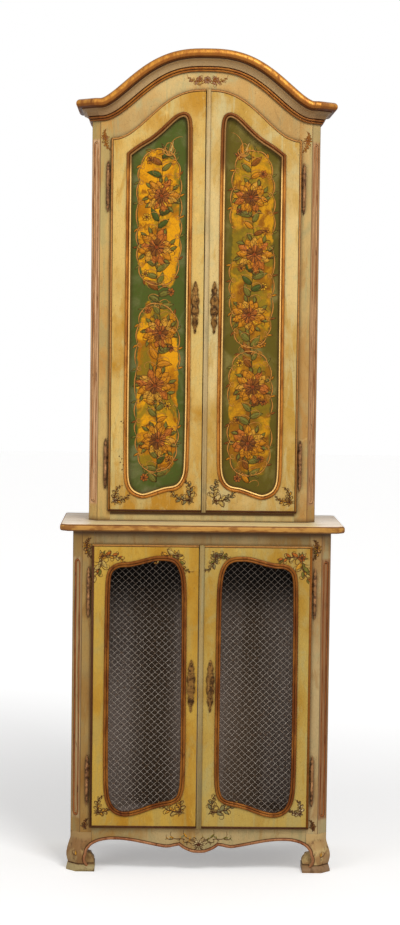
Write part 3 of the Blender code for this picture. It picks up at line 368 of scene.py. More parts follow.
def sealed(gap=None, holes=False):
    """Merges the active piece's doubled points, closes its open ends and points its faces outwards."""
    bpy.ops.object.mode_set(mode="EDIT")
    bpy.ops.mesh.select_all(action="SELECT")
    if gap:
        bpy.ops.mesh.remove_doubles(threshold=gap)
    if holes:
        bpy.ops.mesh.fill_holes(sides=0)
        bpy.ops.mesh.select_all(action="SELECT")
    bpy.ops.mesh.normals_make_consistent(inside=False)
    bpy.ops.object.mode_set(mode="OBJECT")


def swept(name, places, section, closed=False):
    """A closed section of (left, up) pairs carried along stations, with U across the section, V along it."""
    columns = len(section)
    rows = len(places) - (0 if closed else 1)
    bpy.ops.object.select_all(action="DESELECT")
    bpy.ops.mesh.primitive_grid_add(x_subdivisions=columns, y_subdivisions=rows, calc_uvs=True)
    piece = bpy.context.object
    piece.name = name
    for index, vertex in enumerate(piece.data.vertices):
        row, column = divmod(index, columns + 1)
        place, left, up = places[row % len(places)]
        out, proud = section[column % columns]
        vertex.co = place + left * out + up * proud
    sealed(TINY / 10, holes=not closed)
    bpy.ops.object.shade_smooth_by_angle(angle=SHARP_TURN)
    return piece


def crest(node):
    """The line of a CAD moulding's foremost points, clockwise from the front, as (x, z) points."""
    places = {tuple(round(number, 6) for number in vertex.co) for vertex in NODES[node].data.vertices}
    foremost = min(place[1] for place in places)
    ring = [Vector((x, z)) for x, y, z in places if y < foremost + TINY]
    middle = sum(ring, Vector((0, 0))) / len(ring)
    return sorted(ring, key=lambda point: -math.atan2(point.y - middle.y, point.x - middle.x))


def reed(middle, foot, radius, start, end, steps=6):
    """Part of a round reed in a section, from one angle to another in degrees."""
    turns = [math.radians(start + (end - start) * step / steps) for step in range(steps + 1)]
    return [(middle + radius * math.cos(turn), foot + radius * math.sin(turn)) for turn in turns]


def fit(piece, body, slot, *materials, replaces=()):
    """Fits a finished piece to its body, with its materials; the slot is not used."""
    wear(piece, *materials)
    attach(piece, body)
    if replaces:
        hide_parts(*replaces)


def gilding(name, bright, worn, bole, lines=(), rubbed=0.5, zones=(), patch=26.0, shade_and_soot=None, points=1):
    """Old gilding over a red-brown ground: rubbed patches and streaks, zones of other paint, of painted
    highlight and of painted shade, and dark lines of dirt and painted shade by their place among the
    section's points, painted shade and dirt in the joints, and painted shade between two heights."""
    coat = Finish(name, Metallic=0.25, Specular_IOR_Level=0.1)
    coat.ground(coat.noise(patch, 4.0, 0.6, (1, 1, 0.35), 0.6), rubbed - 0.16, rubbed + 0.14, worn, bright)
    rubs = coat.noise(75.0, 5.0, 0.65, (1, 1, 0.30), 0.8)
    coat.wash(bole, rubs, 0.55, 0.70, 0.75)
    across = coat.height("X", coat.add("ShaderNodeTexCoord").outputs["UV"])
    for start, end, paint, share in zones:
        start, end = start / points, end / points
        inside = coat.level("MULTIPLY", coat.band(across, start - ZONE_BLUR, start + ZONE_BLUR),
                            coat.band(across, end + ZONE_BLUR, end - ZONE_BLUR, 0.0, share))
        coat.colour = coat.blend(inside, coat.colour, paint)
    for middle, half in lines:
        coat.wash(DIRT_AND_SHADE, coat.away(across, middle / points), half, half * 0.4, 0.9)
    if shade_and_soot:
        coat.wash(bole, coat.height(), *shade_and_soot)
    coat.dirt_and_shade(0.006, 0.85, DIRT_AND_SHADE)
    coat.wash(bole, coat.noise(400.0, 2.0, 0.5, (1, 1, 0.5)), 0.45, 0.75, 0.25)
    return coat.done((rubs, 0.4, 0.7, 0.32, 0.55), (rubs, 0.0003, 0.4))


MOULDING_RETURN = 0.0058  # how deep it lines the hole
MOULDING_REACH = 0.0029  # how far it hangs into the hole
MOULDING_FACE = 0.0109
MOULDING_SEAT = 0.00035
CREST_OUT = 0.00121  # from the edge of the hole to the crest of the CAD moulding
MOULDING_SECTION = [
    (out - CREST_OUT, up) for out, up in (
        (-MOULDING_REACH, -MOULDING_RETURN), *reed(0.0001, 0.0016, 0.0030, 190, 25),
        *reed(0.0069, 0.0009, 0.0040, 160, 0), (MOULDING_FACE, MOULDING_SEAT),
        (-MOULDING_SEAT, MOULDING_SEAT), (-MOULDING_SEAT, -MOULDING_RETURN),
    )
]
# Dark lines of dirt and painted shade in the quirk and along both edges of the mouldings.
MOULDING_LINES = ((7.6, 0.035), (0.6, 0.05), (14.4, 0.035))  # in the quirk and along both edges, half as wide
DOOR_GILT = {
    "base": gilding(
        "base_gilding", (0.30, 0.105, 0.015), (0.15, 0.040, 0.006), (0.06, 0.014, 0.004),
        MOULDING_LINES, 0.52, points=len(MOULDING_SECTION),
    ),
    # The upper mouldings' inner reed is painted bright as a painted highlight, and the upper parts of their
    # arches are darkened towards the bole as painted shade.
    "upper": gilding(
        "upper_gilding", (0.52, 0.20, 0.030), (0.27, 0.085, 0.012), (0.10, 0.024, 0.006),
        MOULDING_LINES, 0.48, [(0.5, 5.0, (0.98, 0.62, 0.20), 0.88)], shade_and_soot=(1.955, 2.010, 0.74),
        points=len(MOULDING_SECTION),
    ),
}
SIDES = {"left": -1, "right": 1}
DOORS = [(stage, label, f"{stage}_door_{label}") for stage in DOOR_GILT for label in SIDES]

for stage, label, door in DOORS:
    face = Vector((0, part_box(f"{door}_frame")[0].y, 0))
    line = stations(smooth(crest(f"{door}_moulding"), closed=True), face, closed=True)
    moulding = swept(f"{door}_gilt_moulding", line, MOULDING_SECTION, True)
    fit(moulding, door, "gilding", DOOR_GILT[stage], replaces=[f"{door}_moulding"])

# The cornice: a limewood moulding carved in one with its arch, mitred at the canted corners and nailed to
# the roof. A round gilt nose over a shadowed cove and two reeds, bright on the nose; the darker paint under
# and over the nose, the dark lines between the members and the darkening towards the shoulders are
# painted shade.
CORNICE_HEIGHT = 0.061
CORNICE_POWER = 1.4
CORNICE_SPAN_SHARE = 1.003
ARCH_STATIONS = 96
CORNICE_SEAT = 0.0004
CORNICE_LOW, CORNICE_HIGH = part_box("cornice")
UPPER_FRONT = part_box("frieze")[0].y
UPPER_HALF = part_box("upper_post_right")[1].x
CORNICE_SECTION = [
    (out + CORNICE_SEAT, up) for out, up in (
        (0.0, 0.0), *reed(0.0040, 0.0032, 0.0031, -90, 100), *reed(0.0074, 0.0098, 0.0035, -75, 95),
        (0.0125, 0.0138), (0.0130, 0.0152), *reed(0.0310, 0.0150, 0.0178, 172, 98, 7), (0.0300, 0.0345),
        *reed(0.0338, 0.0488, 0.0121, -105, 88, 14), (0.0, 0.0609),
    )
]
# Dark lines along the foot, between the two reeds, between the reeds and the cove, and under the nose:
# painted shade.
CORNICE_LINES = ((0.5, 0.02), (8.0, 0.018), (15.0, 0.018), (25.5, 0.034))
# The reeds and the cove have their own paints; the darker paints of the nose's underside, lower front and top
# are painted shade.
CORNICE_ZONES = [  # the reeds, the cove, and the nose's underside, front and back, with each paint's share
    (0.0, 15.5, (0.27, 0.075, 0.013), 0.60), (15.5, 25.5, (0.43, 0.29, 0.14), 0.90),
    (26.0, 30.6, (0.11, 0.030, 0.007), 0.92), (30.6, 33.2, (0.30, 0.095, 0.016), 0.80),
    (36.8, 40.0, (0.24, 0.100, 0.030), 0.75),
]


def bonnet(x, crown, shoulder, span, power):
    """Height of a bonnet arch at x."""
    share = min(1.0, abs(x) / span) ** power
    return shoulder + (crown - shoulder) * (1 + math.cos(math.pi * share)) / 2


def corner_stations(side, height):
    """The run along one side and round the canted corner, from the back."""
    outwards, forwards = Vector((side, 0, 0)), Vector((0, -1, 0))
    slanting = Vector((side, -1, 0)).normalized()
    cant = CANTS["upper"]
    run = []
    for x, y, first, second in (
        (UPPER_HALF, CORNICE_HIGH.y, outwards, outwards),
        (UPPER_HALF, UPPER_FRONT + cant, outwards, slanting),
        (UPPER_HALF - cant, UPPER_FRONT, slanting, forwards),
    ):
        way = (first + second).normalized()
        run.append((Vector((x * side, y, height)), way / way.dot(first), Vector((0, 0, 1))))
    return run


def cornice_stations():
    """Along one side, round its corner, over the arch, and back along the other side."""
    flat = UPPER_HALF - CANTS["upper"]
    shoulder, crown = CORNICE_LOW.z, CORNICE_HIGH.z - CORNICE_HEIGHT
    xs = [flat * (2 * step / ARCH_STATIONS - 1) for step in range(ARCH_STATIONS + 1)]
    line = [Vector((x, bonnet(x, crown, shoulder, flat * CORNICE_SPAN_SHARE, CORNICE_POWER))) for x in xs]
    arch = [(place, outwards, left) for place, left, outwards in stations(line, Vector((0, UPPER_FRONT, 0)))]
    return corner_stations(-1, shoulder) + arch[1:-1] + corner_stations(1, shoulder)[::-1]


# Darkened from 2.195 m down to 2.120 m, towards the shoulders, as painted shade.
CORNICE_GILT = gilding(
    "cornice_gilding", (0.62, 0.27, 0.040), (0.36, 0.125, 0.020), (0.12, 0.032, 0.008), CORNICE_LINES, 0.49,
    CORNICE_ZONES, 60.0, (2.195, 2.120, 0.50), len(CORNICE_SECTION),
)
cornice = swept("cornice_moulding", cornice_stations(), CORNICE_SECTION)
fit(cornice, "cabinet", "gilding", CORNICE_GILT, replaces=["cornice"])

# The wire netting of the base doors: pale iron wires woven over and under each other into small diamonds,
# held in the pocket behind the opening.
WIRE_RADIUS = 0.00035
WEAVE = 0.00038  # how far a wire rises and falls as it crosses the others
WIRE_SPACING = 0.0130
WIRE_SLOPE = math.radians(43)
NET_MARGIN = 0.0055  # how far the net runs on behind the frame
NET_SAMPLING = 0.02


def taken(piece):
    """Links a new piece to the scene and makes it the active one, alone selected."""
    bpy.context.scene.collection.objects.link(piece)
    bpy.ops.object.select_all(action="DESELECT")
    piece.select_set(True)
    bpy.context.view_layer.objects.active = piece


def bundle(name, lines, radius, materials=()):
    """Round strands in one piece, each a list of (place, share of the radius) with its material's index."""
    curve = bpy.data.curves.new(name, "CURVE")
    curve.dimensions = "3D"
    curve.bevel_depth = radius
    curve.bevel_resolution = 1
    curve.use_fill_caps = True
    for material in materials:
        curve.materials.append(material)
    for points, material in lines:
        spline = curve.splines.new("POLY")
        spline.points.add(len(points) - 1)
        spline.material_index = material
        spline.use_smooth = True
        for knot, (place, share) in zip(spline.points, points):
            knot.co = (*place, 1)
            knot.radius = share
    taken(bpy.data.objects.new(name, curve))
    bpy.ops.object.convert(target="MESH")
    sealed(TINY / 10)
    return bpy.context.object


def crossings(start, way, outline):
    """Where a straight line crosses a closed outline, as distances along it, in order."""
    found = []
    for first, second in zip(outline, outline[1:] + outline[:1]):
        edge = second - first
        turn = way.cross(edge)
        if abs(turn) < TINY * TINY:
            continue
        if 0 <= (first - start).cross(way) / turn < 1:
            found.append((first - start).cross(edge) / turn)
    return sorted(found)


def net(name, outline, depth):
    """Two sets of slanting wires clipped to an outline, each passing over and under the others in turn."""
    middle = sum(outline, Vector((0, 0))) / len(outline)
    count = int(max((point - middle).length for point in outline) / WIRE_SPACING) + 1
    cosine, sine = math.cos(WIRE_SLOPE), math.sin(WIRE_SLOPE)
    wires = []
    for hand in (1, -1):
        way, aside = Vector((cosine, hand * sine)), Vector((-hand * sine, cosine))
        for row in range(-count, count + 1):
            start = middle + aside * row * WIRE_SPACING
            cuts = crossings(start, way, outline)
            for near, far in zip(cuts[::2], cuts[1::2]):
                places = [(near, 0.0), (far, 0.0)]
                for column in range(-3 * count, 3 * count + 1):
                    along = column - row * math.cos(2 * WIRE_SLOPE)
                    along = along * WIRE_SPACING / math.sin(2 * WIRE_SLOPE) * hand
                    if near < along < far:
                        places.append((along, WEAVE * hand * (-1) ** (row + column)))
                flat = [(start + way * along, rise) for along, rise in sorted(places)]
                wires.append(([(Vector((point.x, depth + rise, point.y)), 1.0) for point, rise in flat], 0))
    return bundle(name, wires, WIRE_RADIUS)


def grown(line, distance):
    """A clockwise outline moved outwards."""
    moved = []
    for before, here, after in zip(line[-1:] + line[:-1], line, line[1:] + line[:1]):
        way = ((here - before).normalized() + (after - here).normalized()).normalized()
        moved.append(here + Vector((-way.y, way.x)) * distance)
    return moved


def wire_finish():
    """Tinned iron gone dull, with brown rust in places, and darkened towards the tops of the doors as painted
    shade.
    """
    metal = Finish("net_wire", Metallic=0.7)
    rust = metal.noise(110.0, 4.0, 0.6)
    metal.ground(rust, 0.50, 0.65, (0.54, 0.46, 0.38), (0.26, 0.16, 0.09))
    metal.wash((0.10, 0.07, 0.05), metal.height(), 0.66, 0.84, 0.62)
    return metal.done((rust, 0.4, 0.7, 0.38, 0.65))


NET_WIRE = wire_finish()
for label in SIDES:
    door = f"base_door_{label}"
    low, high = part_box(f"{door}_grille")
    outline = grown(smooth(crest(f"{door}_moulding"), closed=True, spacing=NET_SAMPLING), NET_MARGIN)
    netting = net(f"{door}_netting", outline, (low.y + high.y) / 2)
    fit(netting, door, "wire", NET_WIRE, replaces=[f"{door}_grille"])

# The door frames: lipped limewood stiles and rails, tenoned and pegged, gessoed and lacquered a stronger
# ochre than the carcass, with a half-round astragal glued to the meeting edge of each right door.
BLEACHED = (), (1.00, 1.40)  # no soot, but the upper doors pale from one height to the other
EASED = math.radians(38)
DOOR_COATS = {  # pale, ochre and patina, how yellow and how worn
    "base_door_left": ((0.52, 0.315, 0.046), (0.41, 0.19, 0.009), (0.40, 0.29, 0.080), 0.47, 0.8),
    "base_door_right": ((0.48, 0.32, 0.070), (0.40, 0.21, 0.020), (0.41, 0.33, 0.12), 0.47, 0.9),
    "upper_door_left": ((0.65, 0.43, 0.125), (0.46, 0.22, 0.018), (0.55, 0.44, 0.17), 0.50, 1.0, *BLEACHED),
    "upper_door_right": ((0.67, 0.48, 0.19), (0.47, 0.26, 0.040), (0.54, 0.45, 0.21), 0.49, 1.0, *BLEACHED),
}
ASTRAGAL_COATS = {
    "base": ((0.37, 0.27, 0.11), (0.33, 0.20, 0.05), (0.27, 0.23, 0.10), 0.46, 0.9),
    "upper": ((0.56, 0.41, 0.19), (0.44, 0.26, 0.08), (0.36, 0.29, 0.14), 0.44, 0.7),
}


def eased(node, body, slot, *materials):
    """A smoothly shaded copy of a CAD node that stands in for it."""
    piece = bpy.data.objects.new(f"{node}_eased", NODES[node].data.copy())
    taken(piece)
    sealed(TINY / 2)
    bpy.ops.object.shade_smooth_by_angle(angle=EASED)
    fit(piece, body, slot, *materials, replaces=[node])


for door, coats in DOOR_COATS.items():
    name = door.replace("_door", "")
    wear(NODES[f"{door}_frame"], lacquer(f"{name}_lacquer", *coats))
for stage, coats in ASTRAGAL_COATS.items():
    paint = lacquer(f"{stage}_astragal_lacquer", *coats)
    eased(f"{stage}_astragal", f"{stage}_door_right", "cream_lacquer", paint)

# The painted ornament: brush strokes of tempera laid over the lacquer in thin relief, as sprays of flowers,
# leaves and tendrils at the corners, with sienna and umber lines along the edges of the doors; the wide umber
# along their feet and along the base doors' hinged edges is painted shade.
BRUSH = 0.001
OUTLINE = 0.0010
LAYERS = {  # each layer's thickness as a share of its width, and the height of its middle
    "leaf": (0.03, 0.00004), "bloom": (0.012, 0.00016), "heart": (0.012, 0.00034), "line": (0.4, 0.00040),
    "chased": (0.6, 0.00030),
}
SHAPES = {
    "even": lambda along: 1.0,
    "tendril": lambda along: 1.0 - 0.75 * along,
    "leaf": lambda along: max(0.07, math.sin(math.pi * along ** 0.75)),
    "petal": lambda along: max(0.10, math.sin(math.pi * min(0.93, 0.08 + 0.9 * along ** 1.3))),
}
PAINTS = {
    "umber": (0.080, 0.028, 0.009), "gilt": (0.50, 0.21, 0.035), "ochre": (0.56, 0.26, 0.025),
    "orange": (0.46, 0.13, 0.015), "olive": (0.17, 0.145, 0.022), "rose": (0.36, 0.20, 0.11),
    "cream": (0.72, 0.55, 0.26), "yellow": (0.70, 0.34, 0.014), "red": (0.26, 0.045, 0.010),
    "leaf": (0.065, 0.085, 0.012), "slate": (0.22, 0.18, 0.070), "sienna": (0.46, 0.205, 0.050),
    "amber": (0.52, 0.19, 0.008), "russet": (0.24, 0.075, 0.008), "straw": (0.50, 0.33, 0.085),
}
PAINT_NAMES = list(PAINTS)
TENDRIL_STEPS = 9
LEAF_STEPS = 5
VEINED_RADIUS = 0.006  # smaller blossoms have no veins


def tempera(name, colour):
    """One paint, rubbed thin in places so that the brown under it shows."""
    coat = Finish(name, Specular_IOR_Level=0.1)
    thin = coat.noise(140.0, 4.0, 0.65)
    coat.colour = colour
    coat.wash(tuple(part * 0.4 for part in colour), thin, 0.48, 0.72, 0.6)
    return coat.done((thin, 0.3, 0.7, 0.38, 0.55))


TEMPERA = [tempera(f"tempera_{name}", colour) for name, colour in PAINTS.items()]


def no_lift(x, z):
    return 0.0


def aimed(heading):
    return Vector((math.cos(heading), math.sin(heading)))


class Painting:
    """Brush strokes on one face, gathered into one piece."""

    def __init__(self, name, origin, lift=no_lift, seed=1, ink="umber"):
        self.name, self.origin, self.lift, self.ink = name, origin, lift, ink
        self.random = random.Random(seed)
        self.layers = {layer: [] for layer in LAYERS}
        self.sides = -math.inf, math.inf

    def stroke(self, points, width, paint, shape="tendril", layer="line"):
        """A stroke, which ends where it would pass the sides of its face."""
        low, high = self.sides
        outside = (index for index, point in enumerate(points) if not low <= point.x <= high)
        points = points[:next(outside, len(points))]
        if len(points) < 2:
            return
        last = len(points) - 1
        shares = [SHAPES[shape](index / last) * width / 2 / BRUSH for index in range(last + 1)]
        strand = [(Vector((point.x, 0, point.y)), share) for point, share in zip(points, shares)]
        self.layers[layer].append((strand, PAINT_NAMES.index(paint)))

    def tendril(self, start, heading, length, turn, width, paint=None, layer="line"):
        """A tapering stroke that curls up towards its end."""
        points = [start]
        for step in range(TENDRIL_STEPS):
            heading += turn * (2 * step + 1) / TENDRIL_STEPS ** 2
            points.append(points[-1] + aimed(heading) * length / TENDRIL_STEPS)
        self.stroke(points, width, paint or self.ink, layer=layer)
        return points

    def leaf(self, start, heading, length, width, paint, layer="leaf", shape="leaf", bend=0.5):
        bend = self.random.uniform(-bend, bend)
        points = [start]
        for step in range(LEAF_STEPS):
            heading += bend / LEAF_STEPS
            points.append(points[-1] + aimed(heading) * length / LEAF_STEPS)
        self.stroke(points, width, paint, shape, layer)
        return points

    def edged_leaf(self, start, heading, length, width, paint, layer="leaf", shape="leaf", bend=0.5):
        """A leaf or petal with its two edges drawn in the painting's ink."""
        points = self.leaf(start, heading, length, width, paint, layer, shape, bend)
        last = len(points) - 1
        for hand in (-1, 1):
            edge = []
            for index, point in enumerate(points):
                along = (points[min(last, index + 1)] - points[max(0, index - 1)]).normalized()
                share = SHAPES[shape](index / last) if index < last else 0.0
                edge.append(point + Vector((-along.y, along.x)) * hand * share * width / 2)
            self.stroke(edge, OUTLINE, self.ink, "even")
        return points

    def blossom(self, centre, radius, petals, paint, heart):
        start = self.random.uniform(0, math.tau)
        for petal in range(petals):
            heading = start + math.tau * petal / petals
            length = radius * self.random.uniform(0.88, 1.08)
            self.edged_leaf(centre, heading, length, radius * 4.4 / petals, paint, "bloom", "petal", 0.25)
            if radius > VEINED_RADIUS:
                vein = centre + aimed(heading) * radius * 0.3
                self.leaf(vein, heading, length * 0.55, radius * 0.05, "umber", "line", "leaf", 0.2)
        edge = centre - Vector((radius * 0.22, 0))
        self.leaf(edge, 0, radius * 0.44, radius * 0.42, heart, "heart", "leaf", 0)
        ring = [centre + aimed(math.tau * step / 10) * radius * 0.26 for step in range(11)]
        self.stroke(ring, radius * 0.07, "umber", "even")

    def spray(self, corner, arms, width, flower, leaves):
        """A blossom, and along each (heading, length, turn) arm a tendril with its curls and leaves."""
        for heading, length, turn in arms:
            stem = self.tendril(corner, heading, length, turn, width)
            hand = math.copysign(1, turn)
            for index in range(1, TENDRIL_STEPS - 1):
                along = (stem[index + 1] - stem[index]).normalized()
                way = math.atan2(along.y, along.x)
                reach = length * self.random.uniform(0.22, 0.32) * (1.1 - index / TENDRIL_STEPS)
                self.tendril(stem[index], way + hand * 0.7, reach * 1.7, hand * 4.4, width * 0.8)
                paint = self.random.choice(leaves)
                self.edged_leaf(stem[index], way - hand * 0.7, reach, reach * 0.46, paint)
                if index % 2:
                    paint = self.random.choice(leaves)
                    self.edged_leaf(stem[index], way + hand * 0.2, reach * 0.8, reach * 0.40, paint)
                hand = -hand
        if flower:
            radius, paint, heart = flower
            for heading in (math.tau * (step + self.random.random()) / 6 for step in range(6)):
                self.edged_leaf(corner, heading, radius * 1.6, radius * 0.5, self.random.choice(leaves))
            self.blossom(corner, radius, 6, paint, heart)

    def finish(self, body, slot, *materials):
        """Lays the strokes on the face and joins them into one piece."""
        across, outwards = FRONT_FACE
        parts = []
        for layer, strands in self.layers.items():
            if strands:
                part = bundle(f"{self.name}_{layer}", strands, BRUSH, materials or TEMPERA)
                thin, rise = LAYERS[layer]
                for vertex in part.data.vertices:
                    x, y, z = vertex.co
                    up = rise - y * thin + self.lift(x, z)
                    vertex.co = self.origin + across * x + Vector((0, 0, z)) + outwards * up
                parts.append(part)
        bpy.ops.object.select_all(action="DESELECT")
        for part in parts:
            part.select_set(True)
        piece = bpy.context.view_layer.objects.active = parts[0]
        if len(parts) > 1:
            bpy.ops.object.join()
        piece.name = self.name
        sealed()
        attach(piece, body)


DOOR_ARCH_SPAN = 0.262
DOOR_POWER = 1.3
FINE_LINES = (  # inset and width
    (0.0028, 0.0042, "sienna"), (0.0007, 0.0010, "umber"), (0.0056, 0.0014, "umber"),
)
# The base doors' wide umber and russet lines along their hinged edges are painted shade.
HINGED_LINES = {
    "base_door_left": ((0.0036, 0.0066, "umber"),), "base_door_right": ((0.0036, 0.0066, "russet"),),
    "upper_door_left": FINE_LINES, "upper_door_right": FINE_LINES,
}
# A wide umber line along each door's foot: painted shade along its lower edge.
FOOT_SHADE_LINE = 0.0068
FOOT_SHADE_LINE_UP = 0.0003
SPRAY_MARGIN = 0.005
SPRAY_LINE = 0.0025
DOOR_EDGE_STEPS = 40
UPPER_CROWN, UPPER_SHOULDER = 2.209, 2.070


def door_top(door, x):
    """Height of a door's upper edge at x."""
    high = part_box(f"{door}_frame")[1].z
    if door.startswith("base"):
        return high
    return bonnet(x, UPPER_CROWN, UPPER_SHOULDER, DOOR_ARCH_SPAN, DOOR_POWER)


def door_lines(painting, door, side):
    """Sienna and umber lines along a door's hinged, upper and lower edges; the wide ones on the base doors'
    hinged edges and on every door's foot are painted shade.
    """
    low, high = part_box(f"{door}_frame")
    hinged, meeting = (low.x, high.x) if side < 0 else (high.x, low.x)
    for inset, width, paint in FINE_LINES:
        edge = hinged - side * inset
        xs = [meeting + (edge - meeting) * step / DOOR_EDGE_STEPS for step in range(DOOR_EDGE_STEPS + 1)]
        painting.stroke([Vector((x, door_top(door, x) - inset)) for x in xs], width, paint, "even")
    for inset, width, paint in HINGED_LINES[door]:
        edge = hinged - side * inset
        ends = [Vector((edge, door_top(door, edge) - inset)), Vector((edge, low.z + inset))]
        painting.stroke(ends, width, paint, "even")
    foot = low.z + FOOT_SHADE_LINE / 2 + FOOT_SHADE_LINE_UP
    painting.stroke([Vector((hinged, foot)), Vector((meeting, foot))], FOOT_SHADE_LINE, "umber", "even")


SPRAYS = {  # the blossom's place in from the hinged edge and up from the foot, its arms, radius and paints
    "base_door_left": [
        ((0.030, 0.772), [(0.15, 0.085, -1.6), (-1.70, 0.110, -1.5)], 0.0115, ("ochre", "red"),
         ("ochre", "orange", "olive", "straw")),
        ((0.240, 0.776), [(3.05, 0.085, 1.7), (-1.35, 0.075, 1.6)], 0.0105, ("straw", "umber"),
         ("olive", "straw", "ochre")),
        ((0.024, 0.045), [(0.0, 0.050, 1.4), (1.75, 0.060, -1.5)], 0.0075, ("straw", "umber"),
         ("straw", "ochre")),
        ((0.256, 0.048), [(3.10, 0.085, -1.5), (1.40, 0.060, 1.5)], 0.0085, ("straw", "umber"),
         ("ochre", "straw")),
    ],
    "base_door_right": [
        ((0.030, 0.772), [(0.15, 0.095, -1.6), (-1.65, 0.110, -1.5)], 0.0115, ("orange", "red"),
         ("orange", "ochre", "olive", "straw")),
        ((0.270, 0.776), [(3.05, 0.060, 1.7), (-1.35, 0.070, 1.6)], 0.0110, ("slate", "umber"),
         ("slate", "olive", "straw")),
        ((0.024, 0.045), [(0.0, 0.045, 1.4), (1.75, 0.050, -1.5)], 0.0060, ("cream", "slate"),
         ("slate", "cream")),
        ((0.272, 0.048), [(3.10, 0.095, -1.5), (1.40, 0.070, 1.5)], 0.0085, ("straw", "umber"),
         ("slate", "straw")),
    ],
    "upper_door_left": [
        ((0.020, 0.032), [(0.0, 0.055, 1.4), (1.65, 0.055, -1.5)], 0.0080, ("cream", "umber"),
         ("straw", "ochre")),
        ((0.232, 0.034), [(3.10, 0.075, -1.5), (1.35, 0.075, 1.6)], 0.0085, ("straw", "umber"),
         ("straw", "slate")),
    ],
    "upper_door_right": [
        ((0.020, 0.032), [(0.0, 0.055, 1.4), (1.65, 0.055, -1.5)], 0.0080, ("ochre", "umber"),
         ("straw", "ochre")),
        ((0.232, 0.034), [(3.10, 0.080, -1.5), (1.35, 0.085, 1.6)], 0.0080, ("straw", "umber"),
         ("straw", "slate")),
    ],
}
WORM_HOLES = [  # in the left upper door, in from its hinged edge and up from its foot
    (0.034, 0.256), (0.040, 0.252), (0.047, 0.257), (0.052, 0.250), (0.030, 0.157), (0.037, 0.150),
    (0.033, 0.140), (0.041, 0.133), (0.038, 0.119),
]

for number, (_, label, door) in enumerate(DOORS):
    side = SIDES[label]
    low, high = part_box(f"{door}_frame")
    painting = Painting(f"{door}_painting", Vector((0, low.y, 0)), seed=number + 3)
    door_lines(painting, door, side)
    painting.sides = low.x + SPRAY_MARGIN, high.x - SPRAY_MARGIN
    hinged = low.x if side < 0 else high.x
    for (inward, up), arms, radius, paints, leaves in SPRAYS[door]:
        corner = Vector((hinged - side * inward, low.z + up))
        if side > 0:
            arms = [(math.pi - heading, length, -turn) for heading, length, turn in arms]
        painting.spray(corner, arms, SPRAY_LINE, (radius, *paints), leaves)
    if door == "upper_door_left":
        for inward, up in WORM_HOLES:
            hole = Vector((low.x + inward, low.z + up))
            painting.leaf(hole, 0.6, 0.0034, 0.0026, "umber", "line", "even")
    painting.finish(door, "cream_lacquer")

# The painted panels of the upper doors: thin boards set behind the openings, green on the left and olive on
# the right. Each has two ochre fields framed by gilt scrolls, with flowers on a climbing stem in amber,
# orange and red.
PANEL_GROUNDS = {
    "left": ((0.070, 0.090, 0.014), (0.150, 0.150, 0.052)),
    "right": ((0.110, 0.082, 0.010), (0.205, 0.160, 0.040)),
}
FIELD_PAINTS = {  # deep and bright ochre, and how far the olive shading spreads
    "left": ((0.38, 0.130, 0.004), (0.70, 0.30, 0.006), 0.52),
    "right": ((0.27, 0.105, 0.006), (0.56, 0.25, 0.008), 0.46),
}
PANEL_FIELDS = {  # the middle and half the height of each field, as shares of the panel's height
    "left": [(0.285, 0.222), (0.732, 0.176)], "right": [(0.218, 0.162), (0.654, 0.256)],
}
FIELD_SHARE = 0.345  # half a field's width as a share of the panel's
FIELD_RUSSET, FIELD_OLIVE = (0.20, 0.060, 0.005), (0.19, 0.140, 0.010)
SCROLL_LENGTH = 0.050
BLOSSOMS = {  # each as shares of the panel's width and height, and a radius
    "left": [
        ((0.52, 0.145), 0.047), ((0.46, 0.290), 0.050), ((0.54, 0.430), 0.045), ((0.46, 0.655), 0.048),
        ((0.54, 0.790), 0.045),
    ],
    "right": [
        ((0.47, 0.140), 0.047), ((0.54, 0.290), 0.048), ((0.46, 0.480), 0.046), ((0.54, 0.640), 0.050),
        ((0.47, 0.790), 0.045),
    ],
}
PETALS = (
    (12, 1.0, ("amber", "ochre", "orange", "amber"), "leaf"),
    (9, 0.74, ("yellow", "ochre", "yellow"), "bloom"), (6, 0.46, ("orange", "russet"), "heart"),
)
PEAK = {"left": 0.66, "right": 0.34}  # where the gilt finial rises, as a share of the panel's width
PEAK_HEIGHT = 0.895
FINIAL = (  # heading, length and turn of its curls
    (1.57, 0.085, 1.3), (1.57, 0.075, -1.6), (0.80, 0.055, 2.8), (2.30, 0.055, -2.8), (0.25, 0.042, 3.4),
    (2.90, 0.042, -3.4),
)
FINIAL_PAINTS = ("olive", "amber", "straw")
PANEL_MARGIN = 0.0070
STEM_STEPS = 60
FIELD_STEPS = 240
BOW_STEPS = 6
SCROLL_BOW = 0.0065
RIGHT = Vector((1, 0))


def field_place(middle, half, turn):
    """A point on the rounded outline of a field, at an angle round its middle."""
    across, up = math.cos(turn), math.sin(turn)
    return middle + Vector((
        math.copysign(half.x * abs(across) ** 0.5, across), math.copysign(half.y * abs(up) ** 0.5, up)
    ))


